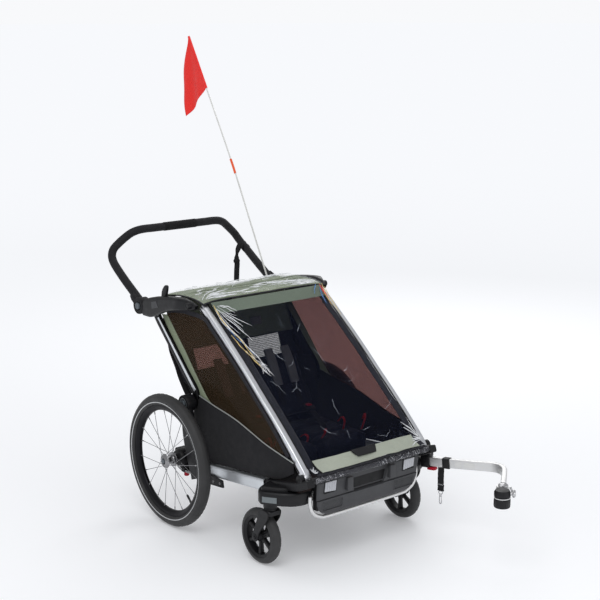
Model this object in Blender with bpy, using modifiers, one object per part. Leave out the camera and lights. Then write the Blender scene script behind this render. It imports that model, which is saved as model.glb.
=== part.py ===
"""Two-seat child bicycle trailer: folding frame, big rear wheels, front casters, tow arm and flag.

Metres. +Z is up, the trailer faces -Y and its left side is +X. Shapes are written with y = 0 at the
rear axle, and the last step moves everything so that the origin is under the middle of the trailer.
"""

import math

import bmesh
import bpy
from mathutils import Matrix, Vector

# Moves the rear-axle frame to the middle of the bounding box.
ROW_SHIFT = Vector((0.0, 0.172, 0.0))

# Running gear
WHEEL_X = 0.375
WHEEL_R = 0.247
TYRE_R = 0.0225
WHEEL_STEPS = 32
SPOKES = 20
CASTER_X = 0.33
CASTER_STEM_Y = -0.54
CASTER_Y = -0.49
CASTER_R = 0.098
CASTER_STEPS = 28
FLANGE_XS = (0.3575, 0.3915)

# Fold linkage, as (y, z)
FRONT_PIVOT = (-0.655, 0.335)
BEAM_TOP = (-0.085, 0.818)
MID_PIVOT = (-0.045, 0.464)
TOP_PIVOT = (0.19, 0.77)
SEAT_PIVOT = (-0.13, 0.335)
COVER_HINGE = (-0.098, 0.832)
HANDLE_PIVOT = (0.24, 0.778)

# Planes across the trailer, as distances from the middle
BEAM_X = (0.255, 0.2825)
SIDE_X = (0.2835, 0.2865)
RAIL_X = (0.2775, 0.3075)
UPRIGHT_X = (0.283, 0.2985)
CASTING_X = (0.299, 0.338)
POST_X = (0.3085, 0.338)
HUB_SPLIT_X = 0.3187

BEAM_PATH = (
    (-0.085, 0.818),
    (-0.154, 0.767),
    (-0.241, 0.700),
    (-0.327, 0.631),
    (-0.410, 0.560),
    (-0.492, 0.491),
    (-0.572, 0.420),
    (-0.641, 0.354),
    (-0.655, 0.335),
)
BEAM_HALF = 0.0155
ARM_OUTLINE = ((-0.0515, 0.207), (0.0, 0.217), (0.0, 0.262), (-0.0515, 0.24))

# Tow arm, as (x, y, z)
ARM_START = Vector((0.300, -0.650, 0.270))
ARM_KNEE = Vector((0.3225, -0.731, 0.277))
ARM_BEND = Vector((0.403, -0.932, 0.295))
SWIVEL = Vector((0.248, -1.061, 0.287))
ARM_SIZE = (0.018, 0.031)

POLE_LOW = Vector((0.26, 0.174, 0.727))
POLE_BEND = Vector((0.26, 0.441, 1.241))
POLE_TOP = Vector((0.26, 0.738, 1.753))
POLE_R = 0.0035

COLOURS = {
    "silver": ((0.62, 0.63, 0.65), 0.35, 1.0),
    "steel": ((0.7, 0.7, 0.72), 0.25, 1.0),
    "black_plastic": ((0.02, 0.02, 0.022), 0.5, 0.0),
    "grey_plastic": ((0.06, 0.06, 0.065), 0.55, 0.0),
    "black_tube": ((0.03, 0.03, 0.032), 0.6, 0.0),
    "grip": ((0.012, 0.012, 0.013), 0.85, 0.0),
    "rubber": ((0.018, 0.018, 0.019), 0.8, 0.0),
    "button": ((0.35, 0.37, 0.38), 0.4, 0.0),
    "charcoal": ((0.035, 0.036, 0.04), 0.9, 0.0),
    "sage": ((0.25, 0.3, 0.2), 0.9, 0.0),
    "tint": ((0.1, 0.06, 0.04), 0.2, 0.0),
    "seat_cloth": ((0.02, 0.022, 0.035), 0.9, 0.0),
    "mesh_cover": ((0.03, 0.03, 0.035), 0.5, 0.0),
    "webbing": ((0.015, 0.015, 0.015), 0.9, 0.0),
    "red": ((0.6, 0.01, 0.015), 0.4, 0.0),
    "white": ((0.8, 0.8, 0.78), 0.4, 0.0),
}


# ---------------------------------------------------------------- building blocks


def clear_scene():
    for obj in list(bpy.data.objects):
        bpy.data.objects.remove(obj)


def new_collection(name):
    collection = bpy.data.collections.new(name)
    bpy.context.scene.collection.children.link(collection)
    return collection


def new_material(name, colour):
    rgb, roughness, metallic = COLOURS[colour]
    material = bpy.data.materials.new(name)
    material.use_nodes = True
    shader = material.node_tree.nodes["Principled BSDF"]
    shader.inputs["Base Color"].default_value = (*rgb, 1.0)
    shader.inputs["Roughness"].default_value = roughness
    shader.inputs["Metallic"].default_value = metallic
    return material


def add_object(name, mesh):
    """An object in world coordinates, with its doubles welded and its faces turned outward."""
    solid = bmesh.new()
    solid.from_mesh(mesh)
    bmesh.ops.remove_doubles(solid, verts=solid.verts, dist=0.00001)
    bmesh.ops.recalc_face_normals(solid, faces=solid.faces)
    solid.to_mesh(mesh)
    solid.free()
    obj = bpy.data.objects.new(name, mesh)
    PARTS.objects.link(obj)
    return obj


def from_curve(name, curve, matrix=Matrix()):
    holder = bpy.data.objects.new(name, curve)
    PARTS.objects.link(holder)
    bpy.context.view_layer.update()
    graph = bpy.context.evaluated_depsgraph_get()
    mesh = bpy.data.meshes.new_from_object(holder.evaluated_get(graph))
    bpy.data.objects.remove(holder)
    mesh.transform(matrix)
    return add_object(name, mesh)


PLANES = {
    "x": Matrix(((0, 0, 1, 0), (1, 0, 0, 0), (0, 1, 0, 0), (0, 0, 0, 1))),
    "y": Matrix(((1, 0, 0, 0), (0, 0, -1, 0), (0, 1, 0, 0), (0, 0, 0, 1))),
    "z": Matrix(),
}


def plate(name, plane, outline, low, high):
    """A flat plate: outline is (y, z), (x, z) or (x, y), and low and high are along the plane's axis."""
    curve = bpy.data.curves.new(name, "CURVE")
    curve.dimensions = "2D"
    curve.fill_mode = "BOTH"
    curve.extrude = (high - low) / 2
    spline = curve.splines.new("POLY")
    spline.points.add(len(outline) - 1)
    for point, (u, v) in zip(spline.points, outline):
        point.co = (u, v, 0, 1)
    spline.use_cyclic_u = True
    middle = (low + high) / 2
    offset = -middle if plane == "y" else middle
    return from_curve(name, curve, PLANES[plane] @ Matrix.Translation((0, 0, offset)))


def side_plate(name, side, outline, xs):
    """A plate across x on one side of the trailer."""
    low, high = sorted((side * xs[0], side * xs[1]))
    return plate(name, "x", outline, low, high)


def tube(name, points, radius, resolution=2):
    curve = bpy.data.curves.new(name, "CURVE")
    curve.dimensions = "3D"
    curve.bevel_depth = radius
    curve.bevel_resolution = resolution
    curve.use_fill_caps = True
    spline = curve.splines.new("POLY")
    spline.points.add(len(points) - 1)
    for point, place in zip(spline.points, points):
        point.co = (*place, 1)
    return from_curve(name, curve)


def cylinder(name, start, end, radius, segments=20):
    start = Vector(start)
    end = Vector(end)
    solid = bmesh.new()
    bmesh.ops.create_cone(
        solid,
        cap_ends=True,
        segments=segments,
        radius1=radius,
        radius2=radius,
        depth=(end - start).length,
    )
    mesh = bpy.data.meshes.new(name)
    solid.to_mesh(mesh)
    solid.free()
    turn = (end - start).to_track_quat("Z", "Y").to_matrix().to_4x4()
    mesh.transform(Matrix.Translation((start + end) / 2) @ turn)
    return add_object(name, mesh)


def disc(name, side, pivot, xs, radius, segments=20):
    """A round boss across x, centred on a (y, z) pivot."""
    start = (side * xs[0], *pivot)
    end = (side * xs[1], *pivot)
    return cylinder(name, start, end, radius, segments)


def box(name, low, high):
    solid = bmesh.new()
    bmesh.ops.create_cube(solid, size=1)
    mesh = bpy.data.meshes.new(name)
    solid.to_mesh(mesh)
    solid.free()
    low = Vector(low)
    high = Vector(high)
    size = Matrix.Diagonal((*(high - low), 1))
    mesh.transform(Matrix.Translation((low + high) / 2) @ size)
    return add_object(name, mesh)


def local_box(name, frame, low, high):
    obj = box(name, low, high)
    obj.data.transform(frame)
    return obj


def loft(name, rings):
    """A closed body through rings that all have the same number of points."""
    solid = bmesh.new()
    made = [[solid.verts.new(point) for point in ring] for ring in rings]
    count = len(rings[0])
    for near, far in zip(made, made[1:]):
        for i in range(count):
            j = (i + 1) % count
            solid.faces.new((near[i], near[j], far[j], far[i]))
    solid.faces.new(made[0])
    solid.faces.new(made[-1])
    mesh = bpy.data.meshes.new(name)
    solid.to_mesh(mesh)
    solid.free()
    return add_object(name, mesh)


def turned_x(name, centre, profile, steps):
    """A ring turned about X. The profile is a closed list of (radius, x), and a flat faces down."""
    solid = bmesh.new()
    edge_scale = 1 / math.cos(math.pi / steps)
    rings = []
    for k in range(steps):
        angle = 2 * math.pi * (k + 0.5) / steps - math.pi / 2
        ring = []
        for radius, x in profile:
            y = radius * edge_scale * math.cos(angle)
            z = radius * edge_scale * math.sin(angle)
            ring.append(solid.verts.new(Vector(centre) + Vector((x, y, z))))
        rings.append(ring)
    for k in range(steps):
        near = rings[k]
        far = rings[(k + 1) % steps]
        for i in range(len(profile)):
            j = (i + 1) % len(profile)
            solid.faces.new((near[i], near[j], far[j], far[i]))
    mesh = bpy.data.meshes.new(name)
    solid.to_mesh(mesh)
    solid.free()
    return add_object(name, mesh)


def joined(name, objects):
    """Separate helper shells in one mesh, for use as one Boolean tool."""
    solid = bmesh.new()
    for obj in objects:
        solid.from_mesh(obj.data)
        bpy.data.objects.remove(obj)
    mesh = bpy.data.meshes.new(name)
    solid.to_mesh(mesh)
    solid.free()
    return add_object(name, mesh)


def boolean(obj, operation, *tools):
    for tool in tools:
        PARTS.objects.unlink(tool)
        CUTTERS.objects.link(tool)
        tool.hide_render = True
        tool.display_type = "WIRE"
        tool.name = f"{obj.name}_tool"
        modifier = obj.modifiers.new(operation.lower(), "BOOLEAN")
        modifier.operation = operation
        modifier.solver = "EXACT"
        modifier.object = tool
    return obj


def unite(obj, *tools):
    return boolean(obj, "UNION", *tools)


def cut(obj, *tools):
    return boolean(obj, "DIFFERENCE", *tools)


def bevel(obj, width, segments=1, angle=40):
    modifier = obj.modifiers.new("bevel", "BEVEL")
    modifier.width = width
    modifier.segments = segments
    modifier.limit_method = "ANGLE"
    modifier.angle_limit = math.radians(angle)
    return obj


def finish(obj, colour, origin=None):
    """Gives the object its material and moves its origin onto its joint axis."""
    obj.data.materials.clear()
    obj.data.materials.append(new_material(obj.name, colour))
    if origin is not None:
        move_origin(obj, Vector(origin))
        for modifier in obj.modifiers:
            if modifier.type == "BOOLEAN" and modifier.object.location.length == 0:
                move_origin(modifier.object, Vector(origin))
    return obj


def move_origin(obj, origin):
    obj.data.transform(Matrix.Translation(-origin))
    obj.location = origin


def frame_along(origin, forward):
    """Local Y runs along forward, and local Z is as near up as it can be."""
    ahead = forward.normalized()
    right = ahead.cross(Vector((0, 0, 1))).normalized()
    up = right.cross(ahead)
    frame = Matrix((right, ahead, up)).transposed().to_4x4()
    return Matrix.Translation(origin) @ frame


def offset_path(path, distance):
    """The (y, z) path moved sideways, towards its left when walked from start to end."""
    moved = []
    for i, point in enumerate(path):
        before = Vector(path[max(i - 1, 0)])
        after = Vector(path[min(i + 1, len(path) - 1)])
        along = (after - before).normalized()
        moved.append((point[0] - along.y * distance, point[1] + along.x * distance))
    return moved


def ribbon(path, half):
    """The closed outline of a strip that follows a path, half to each side."""
    return offset_path(path, half) + offset_path(path, -half)[::-1]


def label(side):
    return "right" if side < 0 else "left"


# ---------------------------------------------------------------- base


def rail_height(y):
    """The (bottom, top) of the side rails, which rise towards the front."""
    middle = 0.2237 + (-0.055 - y) * 0.1057
    return middle - 0.021, middle + 0.021


def build_base_rail(side):
    outline = []
    for y, edge in ((-0.052, 0), (-0.476, 0), (-0.476, 1), (-0.052, 1)):
        outline.append((y, rail_height(y)[edge]))
    rail = side_plate(f"base_rail_{label(side)}", side, outline, RAIL_X)
    return finish(bevel(rail, 0.004, 2), "silver")


def build_axle_beam():
    beam = cylinder("axle_beam", (-0.2496, 0, WHEEL_R), (0.2496, 0, WHEEL_R), 0.015, 24)
    return finish(beam, "silver")


def build_axle_housing(side):
    """The round suspension housing with its arm to the rail and the stub that carries the wheel."""
    housing = disc(f"axle_housing_{label(side)}", side, (0, WHEEL_R), (0.25, 0.3375), 0.033, 24)
    arm = side_plate("arm", side, ARM_OUTLINE, (0.272, 0.308))
    return finish(unite(bevel(housing, 0.003), arm), "black_plastic")


def build_rear_post(side):
    """The black post from the rail up to the frame joint, with a recess for its lock button."""
    y, z = MID_PIVOT
    outline = (
        (-0.150, 0.192),
        (-0.062, 0.192),
        (-0.052, 0.235),
        (-0.036, 0.300),
        (y + 0.024, z - 0.01),
        (y - 0.024, z - 0.01),
        (-0.088, 0.330),
        (-0.140, 0.235),
    )
    post = bevel(side_plate(f"rear_post_{label(side)}", side, outline, POST_X), 0.003)
    boss = disc("boss", side, MID_PIVOT, (0.2995, 0.3395), 0.030, 24)
    recess = disc("recess", side, MID_PIVOT, (0.3315, 0.35), 0.0135)
    cut(unite(post, boss), recess)
    return finish(post, "black_plastic")


def build_corner_bracket(side):
    """The corner that holds the caster's stem, the front tube's end and the front beam's pivot."""
    outer = [(0.365, -0.519), (0.363, -0.555), (0.292, -0.631), (0.212, -0.619), (0.262, -0.481)]
    outline = [(side * x, y) for x, y in outer]
    bracket = bevel(plate(f"corner_bracket_{label(side)}", "z", outline, 0.235, 0.277), 0.004, 2)
    boss = cylinder("boss", (side * CASTER_X, CASTER_STEM_Y, 0.2155), (side * CASTER_X, CASTER_STEM_Y, 0.24), 0.023)
    block = (
        (-0.486, 0.262),
        (-0.486, 0.284),
        (-0.602, 0.316),
        (-0.674, 0.3195),
        (-0.6755, 0.346),
        (-0.702, 0.346),
        (-0.702, 0.305),
        (-0.640, 0.297),
        (-0.612, 0.262),
    )
    casting = side_plate("casting", side, block, (0.262, 0.306))
    ear = disc("ear", side, FRONT_PIVOT, (0.2845, 0.306), 0.018)
    return finish(unite(bracket, boss, casting, ear), "black_plastic")


def build_front_cross_tube():
    tube_end = 0.2616
    rod = cylinder("front_cross_tube", (-tube_end, -0.688, 0.333), (tube_end, -0.688, 0.333), 0.011, 16)
    return finish(rod, "black_tube")


def build_front_panel():
    """The moulded front, whose face leans forward towards its top."""
    half = [(0.237, 0.317), (0.230, 0.235), (0.204, 0.206), (0.180, 0.196)]
    outline = half + [(-x, z) for x, z in reversed(half)]
    back = [(x, -0.640, z) for x, z in outline]
    front = [(x, -0.664 - 0.126 * (z - 0.19), z) for x, z in outline]
    panel = bevel(loft("front_panel", (back, front)), 0.003)
    handle_slot = box("slot", (-0.075, -0.70, 0.262), (0.075, -0.668, 0.298))
    return finish(cut(panel, handle_slot), "grey_plastic")


def build_front_hoop():
    half = [(0.246, -0.648, 0.262), (0.246, -0.649, 0.236), (0.240, -0.650, 0.214), (0.226, -0.651, 0.196)]
    half += [(0.204, -0.651, 0.184), (0.172, -0.651, 0.1785)]
    path = half + [(-x, y, z) for x, y, z in reversed(half)]
    return finish(tube("front_hoop", path, 0.007), "silver")


def build_floor_pan():
    """The floor, which narrows in front between the corner brackets."""
    rear = ((-0.06, 0.212), (-0.47, 0.250), (-0.47, 0.262), (-0.06, 0.224))
    front = ((-0.46, 0.2491), (-0.635, 0.2653), (-0.635, 0.2773), (-0.46, 0.2611))
    pan = plate("floor_pan", "x", rear, -0.2618, 0.2618)
    return finish(unite(pan, plate("front", "x", front, -0.205, 0.205)), "grey_plastic")


def build_seat_cushion():
    outline = ((-0.43, 0.262), (-0.14, 0.262), (-0.14, 0.322), (-0.40, 0.345), (-0.43, 0.33))
    return finish(bevel(plate("seat_cushion", "x", outline, -0.235, 0.235), 0.008), "seat_cloth")


def build_side_panel(side):
    outline = (
        (-0.096, 0.4900),
        (-0.176, 0.473),
        (-0.302, 0.452),
        (-0.457, 0.408),
        (-0.606, 0.382),
        (-0.6135, 0.345),
        (-0.540, 0.304),
        (-0.484, 0.2925),
        (-0.189, 0.262),
        (-0.130, 0.300),
        (-0.106, 0.400),
    )
    return finish(side_plate(f"side_panel_{label(side)}", side, outline, SIDE_X), "charcoal")


def build_side_window(side):
    outline = (
        (-0.094, 0.4950),
        (-0.176, 0.4775),
        (-0.302, 0.4565),
        (-0.457, 0.4125),
        (-0.590, 0.3885),
        (-0.492, 0.486),
        (-0.327, 0.626),
        (-0.150, 0.763),
        (-0.110, 0.790),
        (-0.020, 0.792),
        (0.060, 0.780),
        (0.145, 0.755),
        (-0.086, 0.526),
    )
    return finish(side_plate(f"side_window_{label(side)}", side, outline, SIDE_X), "tint")


def build_cargo_bag():
    """The cloth back of the cabin, which bulges into a bag behind the seats."""
    path = ((0.107, 0.690), (0.090, 0.630), (0.066, 0.555), (0.085, 0.505), (0.096, 0.440), (0.090, 0.370), (0.062, 0.312), (0.010, 0.287), (-0.050, 0.290))
    return finish(plate("cargo_bag", "x", ribbon(path, 0.002), -0.235, 0.235), "charcoal")


def build_brake_pedal():
    """A foot pedal on a collar that turns about the axle beam."""
    collar = cylinder("brake_pedal", (-0.20, 0, WHEEL_R), (-0.15, 0, WHEEL_R), 0.021)
    arm = box("arm", (-0.188, 0.012, WHEEL_R - 0.010), (-0.162, 0.070, WHEEL_R + 0.004))
    pad = box("pad", (-0.205, 0.055, WHEEL_R - 0.014), (-0.145, 0.095, WHEEL_R + 0.002))
    bore = cylinder("bore", (-0.21, 0, WHEEL_R), (-0.14, 0, WHEEL_R), 0.0156, 24)
    pedal = cut(unite(collar, arm, pad), bore)
    return finish(pedal, "red", (-0.175, 0, WHEEL_R))


# ---------------------------------------------------------------- folding frame


def build_rear_upright(side):
    outline = (
        (-0.030, 0.462),
        (-0.050, 0.500),
        (0.186, 0.738),
        (0.212, 0.762),
        (0.178, 0.787),
        (0.166, 0.763),
        (-0.076, 0.518),
        (-0.080, 0.500),
        (-0.060, 0.462),
    )
    upright = bevel(side_plate(f"rear_upright_{label(side)}", side, outline, UPRIGHT_X), 0.003)
    lower = disc("lower", side, MID_PIVOT, UPRIGHT_X, 0.026)
    upper = disc("upper", side, TOP_PIVOT, UPRIGHT_X, 0.024)
    return finish(unite(upright, lower, upper), "silver", (0, *MID_PIVOT))


def build_rear_cross_tube():
    rod = cylinder("rear_cross_tube", (-0.2826, 0.128, 0.700), (0.2826, 0.128, 0.700), 0.011, 16)
    return finish(rod, "black_tube", (0, *MID_PIVOT))


def build_top_casting(side):
    """The casting along the top of the cabin side, with half of the handlebar's joint on its rear end."""
    outline = (
        (0.205, 0.812),
        (0.100, 0.834),
        (-0.020, 0.853),
        (-0.090, 0.853),
        (-0.100, 0.832),
        (-0.080, 0.815),
        (0.020, 0.797),
        (0.100, 0.775),
        (0.150, 0.750),
        (0.210, 0.740),
        (0.228, 0.760),
        (0.228, 0.796),
    )
    casting = bevel(side_plate(f"top_casting_{label(side)}", side, outline, CASTING_X), 0.004, 2)
    inner_half = disc("half", side, HANDLE_PIVOT, (CASTING_X[0], HUB_SPLIT_X - 0.0004), 0.030, 24)
    hub_room = disc("room", side, HANDLE_PIVOT, (HUB_SPLIT_X - 0.0002, 0.36), 0.0315, 24)
    return finish(unite(cut(casting, hub_room), inner_half), "black_plastic", (0, *TOP_PIVOT))


def build_canopy():
    path = ((-0.088, 0.842), (-0.02, 0.850), (0.06, 0.848), (0.13, 0.838), (0.172, 0.824), (0.186, 0.812))
    return finish(plate("canopy", "x", ribbon(path, 0.0025), -0.294, 0.294), "sage", (0, *TOP_PIVOT))


def build_flag_socket():
    """A tube that the flag pole stands in, on a lug from the left casting."""
    along = (POLE_BEND - POLE_LOW).normalized()
    low = POLE_LOW - along * 0.008
    high = POLE_LOW + along * 0.094
    socket = cylinder("flag_socket", low, high, 0.0085, 16)
    bore = cylinder("bore", POLE_LOW - along * 0.0004, high + along * 0.01, POLE_R + 0.0006, 16)
    bracket = box("bracket", (0.264, 0.2045, 0.7925), (0.2986, 0.222, 0.805))
    return finish(cut(unite(socket, bracket), bore), "black_plastic", (0, *TOP_PIVOT))


def build_flag_pole():
    return finish(tube("flag_pole", (POLE_LOW, POLE_BEND, POLE_TOP), POLE_R, 1), "white", POLE_LOW)


def build_flag():
    """The pennant, flat along the pole's upper end."""
    along = (POLE_TOP - POLE_BEND).normalized()
    behind = Vector((0, along.z, -along.y)) * (POLE_R + 0.0008)
    top = POLE_TOP + behind - along * 0.004
    low = POLE_TOP + behind - along * 0.240
    outline = [(top.y, top.z), (low.y, low.z), (0.748, 1.428), (0.762, 1.474), (0.785, 1.597)]
    pennant = plate("flag", "x", outline, POLE_LOW.x - 0.001, POLE_LOW.x + 0.001)
    return finish(pennant, "red", POLE_LOW)


def build_front_beam(side):
    """The long curved beam from the front pivot to the top casting."""
    beam = side_plate(f"front_beam_{label(side)}", side, ribbon(BEAM_PATH, BEAM_HALF), BEAM_X)
    lower = disc("lower", side, FRONT_PIVOT, BEAM_X, 0.0145)
    return finish(unite(bevel(beam, 0.004, 2), lower), "silver", (0, *FRONT_PIVOT))


def build_front_cover():
    """The mesh and clear cover between the two front beams, from the roof down to the front tube."""
    path = [(-0.100, 0.8275)] + list(BEAM_PATH[1:-1]) + [(-0.672, 0.3555)]
    strip = ribbon(offset_path(path, -0.012), 0.002)
    return finish(plate("front_cover", "x", strip, -0.2535, 0.2535), "mesh_cover", (0, *COVER_HINGE))


def build_seat_back():
    outline = ((-0.122, 0.330), (-0.088, 0.330), (0.055, 0.585), (0.045, 0.612), (0.018, 0.600))
    back = bevel(plate("seat_back", "x", outline, -0.235, 0.235), 0.008)
    return finish(back, "seat_cloth", (0, *SEAT_PIVOT))


# ---------------------------------------------------------------- handlebar and buttons


def build_handlebar():
    """One bent tube with a hub at each end that turns beside the casting's half of the joint."""
    half = [
        (0.3145, 0.2685, 0.7956),
        (0.3145, 0.360, 0.852),
        (0.312, 0.440, 0.904),
        (0.306, 0.466, 0.927),
        (0.296, 0.476, 0.952),
        (0.276, 0.478, 0.976),
        (0.246, 0.470, 1.000),
        (0.210, 0.458, 1.017),
        (0.170, 0.450, 1.025),
    ]
    path = half + [(-x, y, z) for x, y, z in reversed(half)]
    bar = tube("handlebar", path, 0.0145, 2)
    y, z = HANDLE_PIVOT
    along = Vector((0, half[1][1] - y, half[1][2] - z))
    for side in (-1, 1):
        hub = disc("hub", side, HANDLE_PIVOT, (HUB_SPLIT_X, 0.3395), 0.030, 24)
        frame = frame_along(Vector((side * 0.3291, y, z)), along)
        lug = local_box("lug", frame, (-0.0100, 0.0, -0.0120), (0.0100, 0.060, 0.0120))
        recess = disc("recess", side, HANDLE_PIVOT, (0.3315, 0.36), 0.0135)
        cut(unite(bar, hub, lug), recess)
    return finish(bar, "black_tube", (0, *HANDLE_PIVOT))


def build_handlebar_grip():
    """The sleeve round the middle of the handlebar."""
    grip = cylinder("handlebar_grip", (-0.13, 0.450, 1.025), (0.13, 0.450, 1.025), 0.0175, 16)
    bore = cylinder("bore", (-0.16, 0.450, 1.025), (0.16, 0.450, 1.025), 0.0152, 16)
    return finish(cut(grip, bore), "grip", (0, *HANDLE_PIVOT))


def build_button(name, side, pivot, xs, radius):
    button = disc(f"{name}_{label(side)}", side, pivot, xs, radius)
    return finish(button, "button", (side * xs[0], *pivot))


# ---------------------------------------------------------------- wheels


def arc_profile(centre_r, radius, count, floor_r):
    """A round tyre section whose inner side is flat where it meets the rim."""
    points = []
    for k in range(count):
        angle = 2 * math.pi * k / count
        reach = max(centre_r + radius * math.cos(angle), floor_r)
        points.append((reach, radius * math.sin(angle)))
    return [point for i, point in enumerate(points) if point != points[i - 1]]


def build_tyre(side):
    profile = arc_profile(WHEEL_R - TYRE_R, TYRE_R, 10, 0.2075)
    centre = (side * WHEEL_X, 0, WHEEL_R)
    return finish(turned_x(f"tyre_{label(side)}", centre, profile, WHEEL_STEPS), "rubber", centre)


def build_rim(side):
    profile = [(0.2070, 0.0115), (0.1920, 0.0115), (0.1860, 0.006), (0.1860, -0.006), (0.1920, -0.0115), (0.2070, -0.0115)]
    centre = (side * WHEEL_X, 0, WHEEL_R)
    return finish(turned_x(f"rim_{label(side)}", centre, profile, WHEEL_STEPS), "black_tube", centre)


def build_hub(side):
    """The hub with its two flanges and all spokes, which stop just short of the rim."""
    axle = (0, WHEEL_R)
    hub = disc(f"hub_{label(side)}", side, axle, (0.3385, 0.3995), 0.0165)
    for x in FLANGE_XS:
        unite(hub, disc("flange", side, axle, (x - 0.002, x + 0.002), 0.026, 24))
    spokes = []
    for k in range(SPOKES):
        turn = 2 * math.pi * (k + 0.5) / SPOKES
        lead = math.radians(38) * (1 if k % 4 < 2 else -1)
        x = FLANGE_XS[k % 2]
        inner = Vector((side * x, 0.0235 * math.cos(turn + lead), 0.0235 * math.sin(turn + lead)))
        outer = Vector((side * WHEEL_X, 0.1855 * math.cos(turn), 0.1855 * math.sin(turn)))
        middle = Vector((0, 0, WHEEL_R))
        spokes.append(cylinder("spoke", inner + middle, outer + middle, 0.0011, 5))
    unite(hub, joined("spokes", spokes))
    recess = disc("recess", side, axle, (0.3905, 0.41), 0.0095)
    return finish(cut(hub, recess), "silver", (side * WHEEL_X, *axle))


def build_caster_fork(side):
    x = side * CASTER_X
    top = 0.2150
    fork = cylinder(f"caster_fork_{label(side)}", (x, CASTER_STEM_Y, 0.2), (x, CASTER_STEM_Y, top), 0.021)
    crown = box("crown", (x - 0.0345, -0.563, 0.1985), (x + 0.0345, -0.462, 0.2125))
    unite(fork, bevel(crown, 0.004))
    arm = ((-0.563, 0.212), (-0.462, 0.212), (-0.470, 0.150), (-0.474, 0.092), (-0.506, 0.092), (-0.520, 0.150))
    for cheek in (-1, 1):
        low, high = sorted((x + cheek * 0.0255, x + cheek * 0.0345))
        unite(fork, bevel(plate("arm", "x", arm, low, high), 0.002))
    axle = cylinder("axle", (x - 0.038, CASTER_Y, CASTER_R), (x + 0.038, CASTER_Y, CASTER_R), 0.005, 16)
    return finish(unite(fork, axle), "black_plastic", (x, CASTER_STEM_Y, top))


def build_caster_wheel(side):
    centre = Vector((side * CASTER_X, CASTER_Y, CASTER_R))
    rim = [(0.0770, 0.016), (0.0660, 0.016), (0.0640, 0.012), (0.0640, -0.012), (0.0660, -0.016), (0.0770, -0.016)]
    wheel = turned_x(f"caster_wheel_{label(side)}", centre, rim, CASTER_STEPS)
    for k in range(6):
        turn = Matrix.Rotation(math.radians(60 * k + 30), 4, "X")
        frame = Matrix.Translation(centre) @ turn
        unite(wheel, local_box("spoke", frame, (-0.009, 0.012, -0.0075), (0.009, 0.066, 0.0075)))
    hub = cylinder("hub", centre - Vector((0.0235, 0, 0)), centre + Vector((0.0235, 0, 0)), 0.017)
    bore = cylinder("bore", centre - Vector((0.03, 0, 0)), centre + Vector((0.03, 0, 0)), 0.0056, 16)
    return finish(cut(unite(wheel, hub), bore), "black_plastic", centre)


def build_caster_tyre(side):
    profile = arc_profile(CASTER_R - 0.0195, 0.0195, 10, 0.0775)
    centre = (side * CASTER_X, CASTER_Y, CASTER_R)
    return finish(turned_x(f"caster_tyre_{label(side)}", centre, profile, CASTER_STEPS), "rubber", centre)


# ---------------------------------------------------------------- tow arm and flag


def build_hitch_receiver():
    """The socket on the left front corner, open at the front for the tow arm."""
    frame = frame_along(ARM_START, ARM_KNEE - ARM_START)
    receiver = local_box("hitch_receiver", frame, (-0.0165, -0.012, -0.0205), (0.0165, 0.046, 0.0205))
    bevel(receiver, 0.003)
    half_w = ARM_SIZE[0] / 2 + 0.0005
    half_h = ARM_SIZE[1] / 2 + 0.0005
    slot = local_box("slot", frame, (-half_w, -0.006, -half_h), (half_w, 0.06, half_h))
    button_hole = local_box("hole", frame, (-0.0105, 0.0055, -0.0225), (0.0105, 0.0405, -0.0172))
    return finish(cut(receiver, slot, button_hole), "black_plastic")


def build_hitch_lock():
    """The red lock button in the receiver's underside."""
    frame = frame_along(ARM_START, ARM_KNEE - ARM_START)
    lock = local_box("hitch_lock", frame, (-0.0098, 0.0062, -0.0310), (0.0098, 0.0398, -0.0206))
    return finish(lock, "red", frame @ Vector((0, 0.023, -0.0206)))


def build_hitch_arm():
    """The flat arm, bent inward to the coupling, with a round seat at its end for the swivel."""
    start = ARM_START - (ARM_KNEE - ARM_START).normalized() * 0.001
    corner = []
    to_bend = (ARM_BEND - ARM_KNEE).normalized()
    to_swivel = (SWIVEL - ARM_BEND).normalized()
    for t in (0.0, 0.25, 0.5, 0.75, 1.0):
        before = ARM_BEND - to_bend * 0.055 * (1 - t)
        after = ARM_BEND + to_swivel * 0.055 * t
        corner.append(before * (1 - t) + after * t)
    path = [start, ARM_KNEE] + corner + [SWIVEL]
    rings = []
    for i, point in enumerate(path):
        before = path[max(i - 1, 0)]
        after = path[min(i + 1, len(path) - 1)]
        along = after - before
        along.z = 0
        right = along.normalized().cross(Vector((0, 0, 1))) * ARM_SIZE[0] / 2
        up = Vector((0, 0, ARM_SIZE[1] / 2))
        rings.append((point + right - up, point + right + up, point - right + up, point - right - up))
    arm = bevel(loft("hitch_arm", rings), 0.003)
    seat = cylinder("seat", SWIVEL - Vector((0, 0, 0.04)), SWIVEL + Vector((0, 0, 0.04)), 0.0155)
    return finish(cut(arm, seat), "silver", ARM_START)


def coupling_frame():
    along = SWIVEL - ARM_BEND
    along.z = 0
    return frame_along(SWIVEL, along)


def build_coupling_swivel():
    """The post that turns about Z at the arm's end, with a nose for the coupling's tilt pin."""
    frame = coupling_frame()
    swivel = cylinder("coupling_swivel", SWIVEL - Vector((0, 0, 0.020)), SWIVEL + Vector((0, 0, 0.020)), 0.0145)
    nose = local_box("nose", frame, (-0.0095, 0.0, -0.0080), (0.0095, 0.031, 0.0080))
    return finish(unite(swivel, nose), "steel", SWIVEL)


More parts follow.
